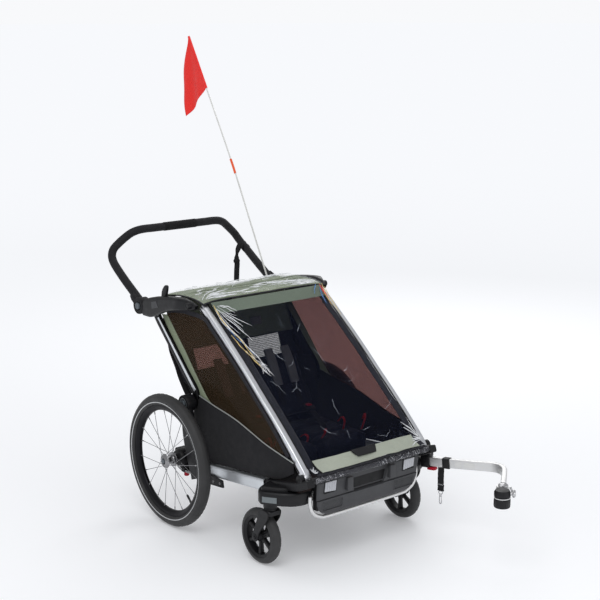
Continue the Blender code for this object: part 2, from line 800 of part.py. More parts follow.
def build_coupling_body():
    """The black cup that takes the bicycle's axle mount, with two cheeks beside the swivel's nose."""
    frame = coupling_frame()
    centre = frame @ Vector((0, 0.064, 0))
    cup = cylinder("coupling_body", centre - Vector((0, 0, 0.034)), centre + Vector((0, 0, 0.026)), 0.027, 20)
    bevel(cup, 0.003)
    hollow = cylinder("hollow", centre - Vector((0, 0, 0.05)), centre + Vector((0, 0, 0.010)), 0.019, 20)
    for cheek in (-1, 1):
        low, high = sorted((cheek * 0.0099, cheek * 0.0160))
        unite(cup, local_box("cheek", frame, (low, 0.0165, -0.0075), (high, 0.045, 0.0075)))
    return finish(cut(cup, hollow), "black_plastic", frame @ Vector((0, 0.024, 0)))


def strap_frame():
    """At the underside of the arm, where the safety strap hangs."""
    along = ARM_KNEE - ARM_START
    along.z = 0
    middle = ARM_START.lerp(ARM_KNEE, 0.73)
    return frame_along(middle - Vector((0, 0, ARM_SIZE[1] / 2)), along)


def build_safety_strap():
    frame = strap_frame()
    strap = local_box("safety_strap", frame, (-0.0012, -0.0125, -0.088), (0.0012, 0.0125, -0.0024))
    return finish(strap, "webbing", frame @ Vector((0, 0, -0.0018)))


def build_snap_hook():
    frame = strap_frame()
    hook = local_box("snap_hook", frame, (-0.003, -0.008, -0.104), (0.003, 0.008, -0.0925))
    shank = local_box("shank", frame, (-0.003, -0.0035, -0.142), (0.003, 0.0035, -0.100))
    return finish(unite(hook, shank), "steel", frame @ Vector((0, 0, -0.0915)))


# ---------------------------------------------------------------- whole trailer


def build_side(side):
    build_base_rail(side)
    build_axle_housing(side)
    build_rear_post(side)
    build_corner_bracket(side)
    build_side_panel(side)
    build_side_window(side)
    build_rear_upright(side)
    build_top_casting(side)
    build_front_beam(side)
    build_button("handlebar_button", side, HANDLE_PIVOT, (0.3365, 0.3435), 0.0128)
    build_button("frame_button", side, MID_PIVOT, (0.3365, 0.3435), 0.0128)
    build_button("axle_button", side, (0, WHEEL_R), (0.3955, 0.4035), 0.0088)
    build_tyre(side)
    build_rim(side)
    build_hub(side)
    build_caster_fork(side)
    build_caster_wheel(side)
    build_caster_tyre(side)


def build_middle():
    build_axle_beam()
    build_front_cross_tube()
    build_front_panel()
    build_front_hoop()
    build_floor_pan()
    build_seat_cushion()
    build_cargo_bag()
    build_brake_pedal()
    build_rear_cross_tube()
    build_canopy()
    build_flag_socket()
    build_flag_pole()
    build_flag()
    build_front_cover()
    build_seat_back()
    build_handlebar()
    build_handlebar_grip()


def build_tow_arm():
    build_hitch_receiver()
    build_hitch_lock()
    build_hitch_arm()
    build_coupling_swivel()
    build_coupling_body()
    build_safety_strap()
    build_snap_hook()


clear_scene()
PARTS = new_collection("child_bicycle_trailer")
CUTTERS = new_collection("cutters")
for one_side in (-1, 1):
    build_side(one_side)
build_middle()
build_tow_arm()
for part in bpy.data.objects:
    part.location += ROW_SHIFT
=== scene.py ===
"""Looks of the two-seat child bicycle trailer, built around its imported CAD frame."""

import math
import random

import bmesh
import bpy
import numpy as np
from mathutils import Matrix, Vector
from mathutils import noise


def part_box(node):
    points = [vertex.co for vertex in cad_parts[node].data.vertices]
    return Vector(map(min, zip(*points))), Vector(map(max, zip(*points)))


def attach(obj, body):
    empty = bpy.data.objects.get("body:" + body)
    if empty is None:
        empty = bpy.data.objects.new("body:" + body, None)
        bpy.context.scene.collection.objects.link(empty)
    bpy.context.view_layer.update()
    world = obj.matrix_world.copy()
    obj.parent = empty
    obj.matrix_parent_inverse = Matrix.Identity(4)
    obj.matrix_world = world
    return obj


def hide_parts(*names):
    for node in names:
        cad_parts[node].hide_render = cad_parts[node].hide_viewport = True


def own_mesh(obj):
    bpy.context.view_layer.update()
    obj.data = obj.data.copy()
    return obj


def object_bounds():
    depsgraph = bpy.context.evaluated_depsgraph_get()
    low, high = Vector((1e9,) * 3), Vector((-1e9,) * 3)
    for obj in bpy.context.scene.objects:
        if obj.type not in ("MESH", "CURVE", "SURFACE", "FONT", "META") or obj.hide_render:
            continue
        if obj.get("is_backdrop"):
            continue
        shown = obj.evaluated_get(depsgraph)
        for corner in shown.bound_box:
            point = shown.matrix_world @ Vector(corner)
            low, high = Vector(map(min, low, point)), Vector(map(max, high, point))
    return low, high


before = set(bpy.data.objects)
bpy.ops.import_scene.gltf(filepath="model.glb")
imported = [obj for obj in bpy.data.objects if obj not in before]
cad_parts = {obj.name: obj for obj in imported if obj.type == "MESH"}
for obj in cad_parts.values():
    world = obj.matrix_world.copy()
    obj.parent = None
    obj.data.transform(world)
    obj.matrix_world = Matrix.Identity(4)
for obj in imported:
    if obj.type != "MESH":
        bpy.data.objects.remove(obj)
CAD_BOX = [list(corner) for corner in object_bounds()]
rng = random.Random(7)

# Shapes are written with y = 0 at the rear axle and moved to the row frame when they are made.
AXLE_Y = sum(corner.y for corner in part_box("tyre_right")) / 2
SHIFT = Vector((0.0, AXLE_Y, 0.0))
WHEEL_R = 0.247
WHEEL_X = 0.375
CASTER_X = 0.33
CASTER_Y = -0.49
CASTER_STEM_Y = -0.54
CASTER_R = 0.098
MID_PIVOT = Vector((0, -0.045, 0.464))
TOP_PIVOT = Vector((0, 0.19, 0.77))
HANDLE_PIVOT = Vector((0, 0.24, 0.778))
FRONT_PIVOT = Vector((0, -0.655, 0.335))
ARM_START = Vector((0.300, -0.650, 0.270))
ARM_KNEE = Vector((0.3225, -0.731, 0.277))
ARM_BEND = Vector((0.403, -0.932, 0.295))
SWIVEL = Vector((0.248, -1.061, 0.287))
POLE_LOW = Vector((0.26, 0.174, 0.727))
POLE_BEND = Vector((0.26, 0.441, 1.241))
POLE_TOP = Vector((0.26, 0.738, 1.753))
UP = Vector((0, 0, 1))

# ---------------------------------------------------------------- materials


class Nodes:
    """Small helper for building a Principled material out of procedural nodes."""

    def __init__(self, name, color, rough=0.5, metal=0.0, alpha=1.0, **sockets):
        self.material = bpy.data.materials.new(name)
        self.material.use_nodes = True
        self.tree = self.material.node_tree
        self.shader = self.tree.nodes["Principled BSDF"]
        self.color = (*color, 1.0)
        values = {"Base Color": self.color, "Roughness": rough, "Metallic": metal, "Alpha": alpha}
        values["Specular IOR Level"] = 0.5 if metal else 0.28
        values.update({key.replace("_", " "): value for key, value in sockets.items()})
        for key, value in values.items():
            self.shader.inputs[key].default_value = value
        self.height = None
        self.coords = self.tree.nodes.new("ShaderNodeTexCoord").outputs["Object"]

    def node(self, kind, inputs=None, **settings):
        made = self.tree.nodes.new(kind)
        for key, value in settings.items():
            setattr(made, key, value)
        for key, value in (inputs or {}).items():
            if isinstance(value, bpy.types.NodeSocket):
                self.tree.links.new(value, made.inputs[key])
            else:
                made.inputs[key].default_value = value
        return made

    def noise(self, scale, detail=4.0, stretch=(1, 1, 1), distortion=0.0):
        mapped = self.node("ShaderNodeMapping", {"Vector": self.coords, "Scale": stretch}).outputs[0]
        inputs = {"Vector": mapped, "Scale": scale, "Detail": detail, "Distortion": distortion}
        return self.node("ShaderNodeTexNoise", inputs).outputs["Fac"]

    def wave(self, period, direction, distortion=0.0, rotation=(0, 0, 0)):
        mapped = self.node("ShaderNodeMapping", {"Vector": self.coords, "Rotation": rotation}).outputs[0]
        inputs = {"Vector": mapped, "Scale": 0.314 / period, "Distortion": distortion, "Detail": 1.0}
        return self.node("ShaderNodeTexWave", inputs, bands_direction=direction).outputs["Fac"]

    def math(self, operation, a, b=0.0):
        return self.node("ShaderNodeMath", {0: a, 1: b}, operation=operation).outputs[0]

    def ramp(self, value, low, high, a=0.0, b=1.0):
        inputs = {"Value": value, "From Min": low, "From Max": high, "To Min": a, "To Max": b}
        return self.node("ShaderNodeMapRange", inputs, clamp=True).outputs[0]

    def tint(self, factor, other, base=None):
        """Mixes the base colour with another by a factor."""
        mix = self.node("ShaderNodeMix", data_type="RGBA")
        self.tree.links.new(factor, mix.inputs[0])
        if base is None:
            mix.inputs[6].default_value = self.color
        else:
            self.tree.links.new(base, mix.inputs[6])
        mix.inputs[7].default_value = (*other, 1.0)
        self.set("Base Color", mix.outputs[2])
        return mix.outputs[2]

    def set(self, socket, value):
        self.tree.links.new(value, self.shader.inputs[socket])

    def bump(self, height, distance, strength=1.0):
        inputs = {"Height": height, "Distance": distance, "Strength": strength}
        made = self.node("ShaderNodeBump", inputs)
        if self.height is not None:
            self.tree.links.new(self.height, made.inputs["Normal"])
        self.height = made.outputs[0]
        self.set("Normal", self.height)


def shade(color, factor):
    return tuple(min(1.0, c * factor) for c in color)


def cloth(name, color, period=0.0011, fuzz=0.25, fold=0.0, rough=0.85, **sockets):
    """Woven cloth: crossed threads, slight colour variation and soft folds."""
    sockets.setdefault("Sheen_Weight", 0.06)
    m = Nodes(name, color, rough, **sockets)
    weave = m.math(
        "MULTIPLY", m.wave(period, "X", 0.6, (0.5, 0.35, 0.2)), m.wave(period, "Z", 0.6, (0.3, 0.2, 0.5))
    )
    threads = m.tint(m.ramp(weave, 0.0, 0.7), shade(color, 0.72))
    m.tint(m.ramp(m.noise(9.0), 0.35, 0.75, 0.0, fuzz), shade(color, 1.35), threads)
    m.set("Roughness", m.ramp(m.noise(40.0), 0.3, 0.7, rough - 0.08, rough + 0.06))
    m.bump(weave, 0.0004, 0.6)
    if fold:
        m.bump(m.noise(16.0, 3.0, (1.6, 0.7, 0.7), 0.6), fold, 0.5)
    return m.material


def plastic(name, color, rough=0.45, grain=0.00012, scale=900.0, **sockets):
    """Moulded plastic: fine texture, faint mottling and slightly uneven gloss."""
    m = Nodes(name, color, rough, **sockets)
    m.tint(m.ramp(m.noise(14.0), 0.35, 0.8, 0.0, 0.35), shade(color, 1.5))
    m.set("Roughness", m.ramp(m.noise(60.0), 0.3, 0.7, rough - 0.07, rough + 0.1))
    m.bump(m.noise(scale, 2.0), grain, 0.5)
    return m.material


def metal(name, color, rough=0.3, brush=(1, 60, 60), strength=0.5, **sockets):
    """Brushed or anodised metal with fine drawn lines."""
    m = Nodes(name, color, rough, 1.0, **sockets)
    lines = m.noise(18.0, 5.0, brush)
    m.tint(m.ramp(m.noise(11.0), 0.35, 0.75, 0.0, 0.4), shade(color, 0.86))
    m.set("Roughness", m.ramp(lines, 0.3, 0.7, rough - 0.06, rough + 0.12))
    m.bump(lines, 0.00008, strength)
    return m.material


def rubber(name, color, rough=0.7, scale=500.0):
    m = Nodes(name, color, rough)
    m.tint(m.ramp(m.noise(20.0), 0.4, 0.8, 0.0, 0.5), shade(color, 1.7))
    m.set("Roughness", m.ramp(m.noise(80.0), 0.3, 0.7, rough - 0.1, rough + 0.12))
    m.bump(m.noise(scale, 2.0), 0.0002, 0.5)
    return m.material


def coloured_window(name, passes, color, share):
    """A tinted window: it filters what is seen through it and adds a little haze of its own."""
    m = Nodes(name, color, 0.15)
    waves = m.noise(7.0, 2.0, (1, 0.5, 0.5))
    m.tint(m.ramp(waves, 0.3, 0.7, 0.0, 0.5), shade(color, 0.75))
    clear = m.node("ShaderNodeBsdfTransparent", {"Color": (*passes, 1.0)})
    mix = m.node("ShaderNodeMixShader", {0: share, 1: clear.outputs[0], 2: m.shader.outputs[0]})
    m.tree.links.new(mix.outputs[0], m.tree.nodes["Material Output"].inputs["Surface"])
    return m.material


def dark_mesh(name, color, alpha, rough):
    """Dark netting too fine to show its holes, a little uneven in how much it lets through."""
    m = Nodes(name, color, rough, alpha=alpha, Specular_IOR_Level=0.05)
    waves = m.noise(7.0, 2.0, (1, 0.5, 0.5))
    m.set("Alpha", m.ramp(waves, 0.3, 0.7, alpha - 0.03, alpha + 0.03))
    return m.material


def see_through_mesh(name, color, alpha, period=0.0016, contrast=0.2):
    """Fine netting, whose holes let the inside show."""
    m = Nodes(name, color, 0.75)
    net = m.math("MAXIMUM", m.wave(period, "X"), m.wave(period, "Z", 0.0, (0.7, 0, 0)))
    m.set("Alpha", m.ramp(net, 0.5, 1.0, alpha - contrast, min(1.0, alpha + contrast)))
    m.bump(net, 0.0003, 0.4)
    return m.material


SAGE = (0.235, 0.275, 0.185)
M = {
    "tyre": rubber("tyre_rubber", (0.034, 0.034, 0.035), 0.55),
    "reflective": plastic("reflective_band", (0.55, 0.56, 0.57), 0.35),
    "black_metal": metal("black_coat", (0.02, 0.02, 0.022), 0.38, (1, 1, 1), 0.2),
    "black": plastic("black_plastic", (0.0075, 0.0075, 0.009), 0.4),
    "deep_black": plastic("deep_black_plastic", (0.006, 0.006, 0.007), 0.5),
    "grey": plastic("grey_plastic", (0.050, 0.051, 0.055), 0.48, 0.00018, 700.0),
    "reflector": plastic("pale_reflector", (0.40, 0.41, 0.44), 0.18, 0.0004, 260.0, Coat_Weight=0.8),
    "grey_reflector": plastic("grey_reflector", (0.16, 0.18, 0.19), 0.3, 0.0003, 300.0),
    "silver": metal("anodised_silver", (0.68, 0.69, 0.72), 0.3, (60, 1, 1)),
    "rail": metal("rail_aluminium", (0.68, 0.71, 0.74), 0.36, (60, 1, 1)),
    "steel": metal("bright_steel", (0.50, 0.50, 0.51), 0.2, (1, 60, 1)),
    "spoke": metal("spoke_steel", (0.30, 0.30, 0.31), 0.25, (1, 1, 1)),
    "bar": plastic("bar_sleeve", (0.010, 0.010, 0.012), 0.72, 0.0004, 1400.0),
    "grip": rubber("grip_rubber", (0.006, 0.006, 0.007), 0.85, 900.0),
    "button": plastic("grey_button", (0.09, 0.105, 0.12), 0.35),
    "sage": cloth("sage_cloth", SAGE, fold=0.004),
    "pale_sage": cloth("pale_sage_cloth", (0.40, 0.43, 0.36), fold=0.006),
    # Sage cloth darkened as painted shade, used on the upper back inside the cabin and on the cover's top
    # band.
    "sage_in_painted_shade": cloth("sage_cloth_in_painted_shade", (0.150, 0.185, 0.145), fold=0.004),
    "charcoal": cloth("charcoal_cloth", (0.0085, 0.0083, 0.0105), 0.0009, 0.4, fold=0.003),
    "piping": cloth("pale_piping", (0.32, 0.34, 0.33), 0.0007),
    "binding": cloth("dark_binding", (0.012, 0.012, 0.018), 0.0008),
    "seat": cloth("navy_seat_cloth", (0.010, 0.012, 0.024), 0.0012, 0.5, fold=0.006),
    "lining": cloth("dark_lining", (0.010, 0.011, 0.019), 0.0012, 0.5, fold=0.006),
    "pad": cloth("grey_pad_cloth", (0.15, 0.155, 0.17), 0.0014, 0.4, fold=0.004),
    "webbing": cloth("black_webbing", (0.010, 0.010, 0.011), 0.0015, 0.5),
    "red_webbing": cloth("red_webbing", (0.45, 0.01, 0.014), 0.0012),
    "thread": cloth("pale_thread", (0.5, 0.52, 0.5), 0.0004),
    "red": plastic("red_plastic", (0.38, 0.006, 0.02), 0.35),
    "flag": cloth("flag_red", (0.88, 0.028, 0.022), 0.001, 0.2, fold=0.004, rough=0.6),
    "white": plastic("white_fibre", (0.62, 0.62, 0.60), 0.35),
    "orange": plastic("orange_band", (0.75, 0.10, 0.03), 0.45),
    "tint": coloured_window("brown_tint", (0.50, 0.350, 0.330), (0.22, 0.165, 0.095), 0.10),
    "mesh": dark_mesh("dark_netting", (0.0035, 0.0050, 0.013), 0.52, 0.8),
    "back_mesh": see_through_mesh("pale_netting", (0.05, 0.05, 0.055), 0.66, 0.0062, 0.34),
    "floor_plastic": plastic("floor_plastic", (0.02, 0.02, 0.022), 0.6),
    "silver_arm": metal("brushed_arm", (0.76, 0.76, 0.76), 0.42, (8, 8, 60)),
    "label": plastic("blank_label", (0.66, 0.66, 0.65), 0.5),
    "webbing_plastic": plastic("clip_plastic", (0.012, 0.012, 0.013), 0.5),
}

# ---------------------------------------------------------------- mesh helpers


def add(name, verts, faces, body, material, slot=None, smooth=35, weld=True):
    """A new piece from points in the axle frame."""
    mesh = bpy.data.meshes.new(name)
    mesh.from_pydata([Vector(v) + SHIFT for v in verts], [], faces)
    solid = bmesh.new()
    solid.from_mesh(mesh)
    if weld:
        bmesh.ops.remove_doubles(solid, verts=solid.verts, dist=0.00002)
    bmesh.ops.recalc_face_normals(solid, faces=solid.faces)
    solid.to_mesh(mesh)
    solid.free()
    return place(bpy.data.objects.new(name, mesh), body, material, slot, smooth)


def place(obj, body, material, slot=None, smooth=35):
    """Links a piece, gives it its look and makes it ride on a body."""
    if obj.name not in bpy.context.scene.collection.objects:
        bpy.context.scene.collection.objects.link(obj)
    obj.data.materials.clear()
    obj.data.materials.append(M[material])
    if obj.type == "MESH":
        obj.data.shade_smooth()
        obj.data.set_sharp_from_angle(angle=math.radians(smooth))
    if body:
        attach(obj, body)
    return obj


class Shape:
    """Collects points and faces of several shells, so that they become one piece."""

    def __init__(self):
        self.verts = []
        self.faces = []

    def rings(self, rings, closed=True, caps=True, loop=False):
        """Skins a list of rings. closed joins each ring's ends and loop joins the last ring to the first."""
        start = len(self.verts)
        count = len(rings[0])
        for ring in rings:
            self.verts += [tuple(point) for point in ring]
        total = len(rings)
        for k in range(total if loop else total - 1):
            near = start + k * count
            far = start + ((k + 1) % total) * count
            for i in range(count if closed else count - 1):
                j = (i + 1) % count
                self.faces.append((near + i, near + j, far + j, far + i))
        if caps and closed and not loop:
            self.faces.append(tuple(start + i for i in range(count)))
            self.faces.append(tuple(start + (total - 1) * count + i for i in range(count)))
        return self

    def lathe(self, centre, axis, profile, steps=48, closed=True, grooves=None):
        """Turns (radius, height) points about an axis. A closed profile makes a ring without caps."""
        axis = Vector(axis).normalized()
        side = axis.orthogonal().normalized() if abs(axis.x) < 0.9 else Vector((0, 1, 0))
        other = axis.cross(side)
        rings = []
        for k in range(steps):
            turn = 2 * math.pi * k / steps
            out = side * math.cos(turn) + other * math.sin(turn)
            ring = []
            for i, (radius, height) in enumerate(profile):
                drop = grooves(k, i) if grooves else 0.0
                ring.append(Vector(centre) + out * (radius - drop) + axis * height)
            rings.append(ring)
        return self.rings(rings, closed=closed, caps=False, loop=True)

    def sweep(self, path, section, side=(1, 0, 0), caps=True, scale=None):
        """Moves a section of (across, above) points along a path. side is the across direction."""
        side = Vector(side)
        path = [Vector(p) for p in path]
        rings = []
        for i, point in enumerate(path):
            along = (path[min(i + 1, len(path) - 1)] - path[max(i - 1, 0)]).normalized()
            across = (side - along * side.dot(along)).normalized()
            above = across.cross(along)
            grow = scale(i / (len(path) - 1)) if scale else 1.0
            rings.append([point + across * u * grow + above * v * grow for u, v in section])
        return self.rings(rings, caps=caps)

    def tube(self, path, radius, sides=10, scale=None):
        """A round tube whose sections don't twist along the path."""
        path = [Vector(p) for p in path]
        normal = (path[1] - path[0]).orthogonal().normalized()
        rings = []
        for i, point in enumerate(path):
            along = (path[min(i + 1, len(path) - 1)] - path[max(i - 1, 0)]).normalized()
            normal = (normal - along * normal.dot(along)).normalized()
            other = along.cross(normal)
            grow = radius * (scale(i / (len(path) - 1)) if scale else 1.0)
            ring = []
            for k in range(sides):
                turn = 2 * math.pi * k / sides
                ring.append(point + (normal * math.cos(turn) + other * math.sin(turn)) * grow)
            rings.append(ring)
        return self.rings(rings)

    def block(self, low, high, matrix=Matrix(), edge=0.001):
        """A box with chamfered upright, level and cross edges."""
        solid = bmesh.new()
        bmesh.ops.create_cube(solid, size=1)
        low = Vector(low)
        high = Vector(high)
        size = Matrix.Diagonal((*(high - low), 1))
        bmesh.ops.transform(solid, matrix=Matrix.Translation((low + high) / 2) @ size, verts=solid.verts)
        if edge:
            bmesh.ops.bevel(
                solid, geom=solid.edges[:], offset=edge, segments=2, profile=0.6, affect="EDGES"
            )
        bmesh.ops.transform(solid, matrix=matrix, verts=solid.verts)
        start = len(self.verts)
        solid.verts.ensure_lookup_table()
        self.verts += [tuple(v.co) for v in solid.verts]
        self.faces += [tuple(start + v.index for v in f.verts) for f in solid.faces]
        solid.free()
        return self

    def make(self, name, body, material, slot=None, smooth=35):
        return add(name, self.verts, self.faces, body, material, slot, smooth, weld=False)


def smooth_path(points, steps=8):
    """A Catmull-Rom curve through points."""
    points = [Vector(p) for p in points]
    ends = [points[0] * 2 - points[1]] + points + [points[-1] * 2 - points[-2]]
    made = []
    for a, b, c, d in zip(ends, ends[1:], ends[2:], ends[3:]):
        for k in range(steps):
            t = k / steps
            made.append(
                0.5 * (
                    2 * b + (c - a) * t + (2 * a - 5 * b + 4 * c - d) * t * t
                    + (3 * b - a - 3 * c + d) * t**3
                )
            )
    return made + [points[-1]]


def yz(x, points):
    return [Vector((x, y, z)) for y, z in points]


def rounded(width, height, radius, steps=4):
    """A rounded rectangle section, centred on the origin."""
    made = []
    for cx, cy, start in ((1, 1, 0), (-1, 1, 90), (-1, -1, 180), (1, -1, 270)):
        for k in range(steps + 1):
            turn = math.radians(start + 90 * k / steps)
            x = cx * (width / 2 - radius) + radius * math.cos(turn)
            y = cy * (height / 2 - radius) + radius * math.sin(turn)
            made.append((x, y))
    return made


def frame_at(origin, along, up=UP):
    """Local Y runs along the direction and local Z is as near up as it can be."""
    ahead = Vector(along).normalized()
    right = ahead.cross(up).normalized()
    matrix = Matrix((right, ahead, right.cross(ahead))).transposed().to_4x4()
    return Matrix.Translation(origin) @ matrix


def plate(
    name, outline, low, high, body, material, slot=None, edge=0.0015, axis="x", segments=2, smooth=35
):
    """A flat plate with rounded edges, from an outline across one axis."""
    order = {
        "x": lambda u, v, w: (w, u, v), "y": lambda u, v, w: (u, w, v), "z": lambda u, v, w: (u, v, w)
    }[axis]
    count = len(outline)
    verts = [order(u, v, low) for u, v in outline] + [order(u, v, high) for u, v in outline]
    faces = [tuple(range(count)), tuple(range(2 * count - 1, count - 1, -1))]
    faces += [(i, (i + 1) % count, count + (i + 1) % count, count + i) for i in range(count)]
    obj = add(name, verts, faces, body, material, slot, smooth)
    if edge:
        bevel(obj, edge, segments)
    return obj


def bevel(obj, width, segments=2, angle=30):
    modifier = obj.modifiers.new("edges", "BEVEL")
    modifier.width = width
    modifier.segments = segments
    modifier.limit_method = "ANGLE"
    modifier.angle_limit = math.radians(angle)
    modifier.harden_normals = True
    return obj


def subdivide(obj, levels=1):
    modifier = obj.modifiers.new("smooth", "SUBSURF")
    modifier.levels = levels
    modifier.render_levels = levels
    return obj


def solidify(obj, thickness, offset=0.0):
    modifier = obj.modifiers.new("thickness", "SOLIDIFY")
    modifier.thickness = thickness
    modifier.offset = offset
    return obj


def surface(name, point, nu, nv, body, material, slot=None, thickness=0.0016):
    """A thin sheet from a function of u and v, both from 0 to 1."""
    verts = [point(i / nu, j / nv) for j in range(nv + 1) for i in range(nu + 1)]
    faces = []
    for j in range(nv):
        for i in range(nu):
            a = j * (nu + 1) + i
            faces.append((a, a + 1, a + nu + 2, a + nu + 1))
    obj = add(name, verts, faces, body, material, slot, 60)
    if thickness:
        solidify(obj, thickness)
    return obj


def stitches(
    name, path, body, lift=(0, 0, 0), material="thread", length=0.0042, pitch=0.0065, radius=0.0004
):
    """A row of short threads along a path."""
    path = [Vector(p) + Vector(lift) for p in path]
    shape = Shape()
    carried = 0.0
    for a, b in zip(path, path[1:]):
        run = (b - a).length
        along = (b - a) / run if run else Vector((1, 0, 0))
        at = carried
        while at + length < run:
            shape.tube((a + along * at, a + along * (at + length)), radius, 4)
            at += pitch
        carried = max(0.0, at - run)
    return shape.make(name, body, material)


def label(side):
    return "right" if side < 0 else "left"


def sides():
    return (-1, 1)


# ---------------------------------------------------------------- CAD nodes that stay, with their looks


def keep(node, material, edge=0.0, segments=2):
    """Shows a CAD node itself, with a procedural material and softened edges."""
    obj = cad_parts[node]
    obj.data.materials.clear()
    obj.data.materials.append(M[material])
    if edge:
        bevel(obj, edge, segments)
    return obj


# ---------------------------------------------------------------- wheels


def tyre_profile(core, radius, inner, tread, count=28):
    """A tyre section with small ribs in its tread, open where the rim is."""
    made = []
    for k in range(count):
        turn = math.radians(-150 + 300 * k / (count - 1))
        out = core + radius * math.cos(turn)
        if out < inner:
            continue
        rib = tread if abs(math.degrees(turn)) < 52 and k % 3 == 1 else 0.0
        made.append((out - rib, radius * math.sin(turn)))
    return made


def build_wheel(side):
    name = label(side)
    body = f"wheel_{name}"
    centre = Vector((side * WHEEL_X, 0, WHEEL_R))
    axis = (1, 0, 0)
    core = WHEEL_R - 0.0222

    def tread(k, i):
        return 0.0011 if k % 3 == 0 and 11 <= i <= 16 else 0.0

    tyre = Shape().lathe(
        centre, axis, tyre_profile(core, 0.0222, 0.2062, 0.0011), 180, closed=True, grooves=tread
    )
    tyre = tyre.make(f"tyre_look_{name}", body, "tyre", "rubber", 50)
    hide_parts(f"tyre_{name}")

    band = Shape()
    for face in (-1, 1):
        ring = []
        for turn, lift in ((104, 0.0002), (104, 0.0006), (111, 0.0006), (111, 0.0002)):
            angle = math.radians(turn)
            reach = 0.0222 + lift
            ring.append((core + reach * math.cos(angle), face * reach * math.sin(angle)))
        band.lathe(centre, axis, ring, 96)
    band.make(f"reflective_ring_{name}", body, "reflective", "white")

    half = [
        (0.2074, 0.0112), (0.2086, 0.0104), (0.2086, 0.0125), (0.2060, 0.0130), (0.1985, 0.0122),
        (0.1905, 0.0090), (0.1868, 0.0045)
    ]
    rim_ring = half + [(r, -x) for r, x in reversed(half)]
    rim = Shape().lathe(centre, axis, rim_ring, 96).make(
        f"rim_look_{name}", body, "black_metal", "black_tube", 40
    )
    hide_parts(f"rim_{name}")

    spokes = Shape()
    nipples = Shape()
    flanges = (0.3575, 0.3915)
    for k in range(20):
        turn = 2 * math.pi * (k + 0.5) / 20
        lead = math.radians(40) * (1 if k % 4 < 2 else -1)
        x = side * flanges[k % 2]
        inner = Vector((x, 0.0235 * math.cos(turn + lead), WHEEL_R + 0.0235 * math.sin(turn + lead)))
        outer = Vector(
            (
                side * (WHEEL_X + (0.002 if k % 2 else -0.002)), 0.1874 * math.cos(turn),
                WHEEL_R + 0.1874 * math.sin(turn)
            )
        )
        spokes.tube((inner, outer), 0.00105, 8)
        spokes.tube((inner - Vector((side * 0.003, 0, 0)), inner + Vector((side * 0.003, 0, 0))), 0.0016, 8)
        nipples.tube((outer.lerp(inner, 0.075), outer), 0.0021, 8)
    spokes.make(f"spokes_{name}", body, "spoke", "silver")
    nipples.make(f"nipples_{name}", body, "steel", "steel")

    hub_profile = [
        (0.0105, 0.3390), (0.0135, 0.3395), (0.0145, 0.3500), (0.0165, 0.3530), (0.0262, 0.3555),
        (0.0270, 0.3575)
    ]
    hub_profile += [
        (0.0262, 0.3595), (0.0175, 0.3620), (0.0140, 0.3680), (0.0140, 0.3800), (0.0175, 0.3870),
        (0.0262, 0.3895)
    ]
    hub_profile += [
        (0.0270, 0.3915), (0.0262, 0.3933), (0.0200, 0.3950), (0.0170, 0.3990), (0.0135, 0.4005),
        (0.0112, 0.3992)
    ]
    hub_profile += [(0.0100, 0.3940), (0.0095, 0.3915), (0.0095, 0.3500)]
    hub = Shape().lathe((0, 0, WHEEL_R), (side, 0, 0), hub_profile, 64)
    hub = hub.make(f"hub_look_{name}", body, "spoke", "silver", 40)
    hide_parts(f"hub_{name}")

    valve_at = math.radians(222 if side < 0 else 120)
    out = Vector((0, math.cos(valve_at), math.sin(valve_at)))
    foot = centre + out * 0.189
    valve = Shape().tube((foot, foot - out * 0.020), 0.0034, 12).tube(
        (foot - out * 0.019, foot - out * 0.034), 0.0042, 12
    )
    valve.tube((foot - out * 0.034, foot - out * 0.037), 0.0030, 12)
    valve.make(f"valve_{name}", body, "black", "rubber")

    button = Shape().lathe((0, 0, WHEEL_R), (side, 0, 0), dome(0.0086, 0.3956, 0.4028), 40, closed=True)
    button = button.make(f"axle_button_look_{name}", f"axle_button_{name}", "button", "button", 30)
    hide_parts(f"axle_button_{name}")


def dome(radius, low, high, inner=0.0006):
    """The section of a button with a rounded edge and a shallow dish on its face."""
    edge = radius * 0.18
    return [(inner, low), (radius, low), (radius, high - edge), (radius - edge * 0.3, high - edge * 0.3),
            (radius - edge, high), (radius * 0.55, high - 0.0004), (inner, high - 0.0009)]


# ---------------------------------------------------------------- casters


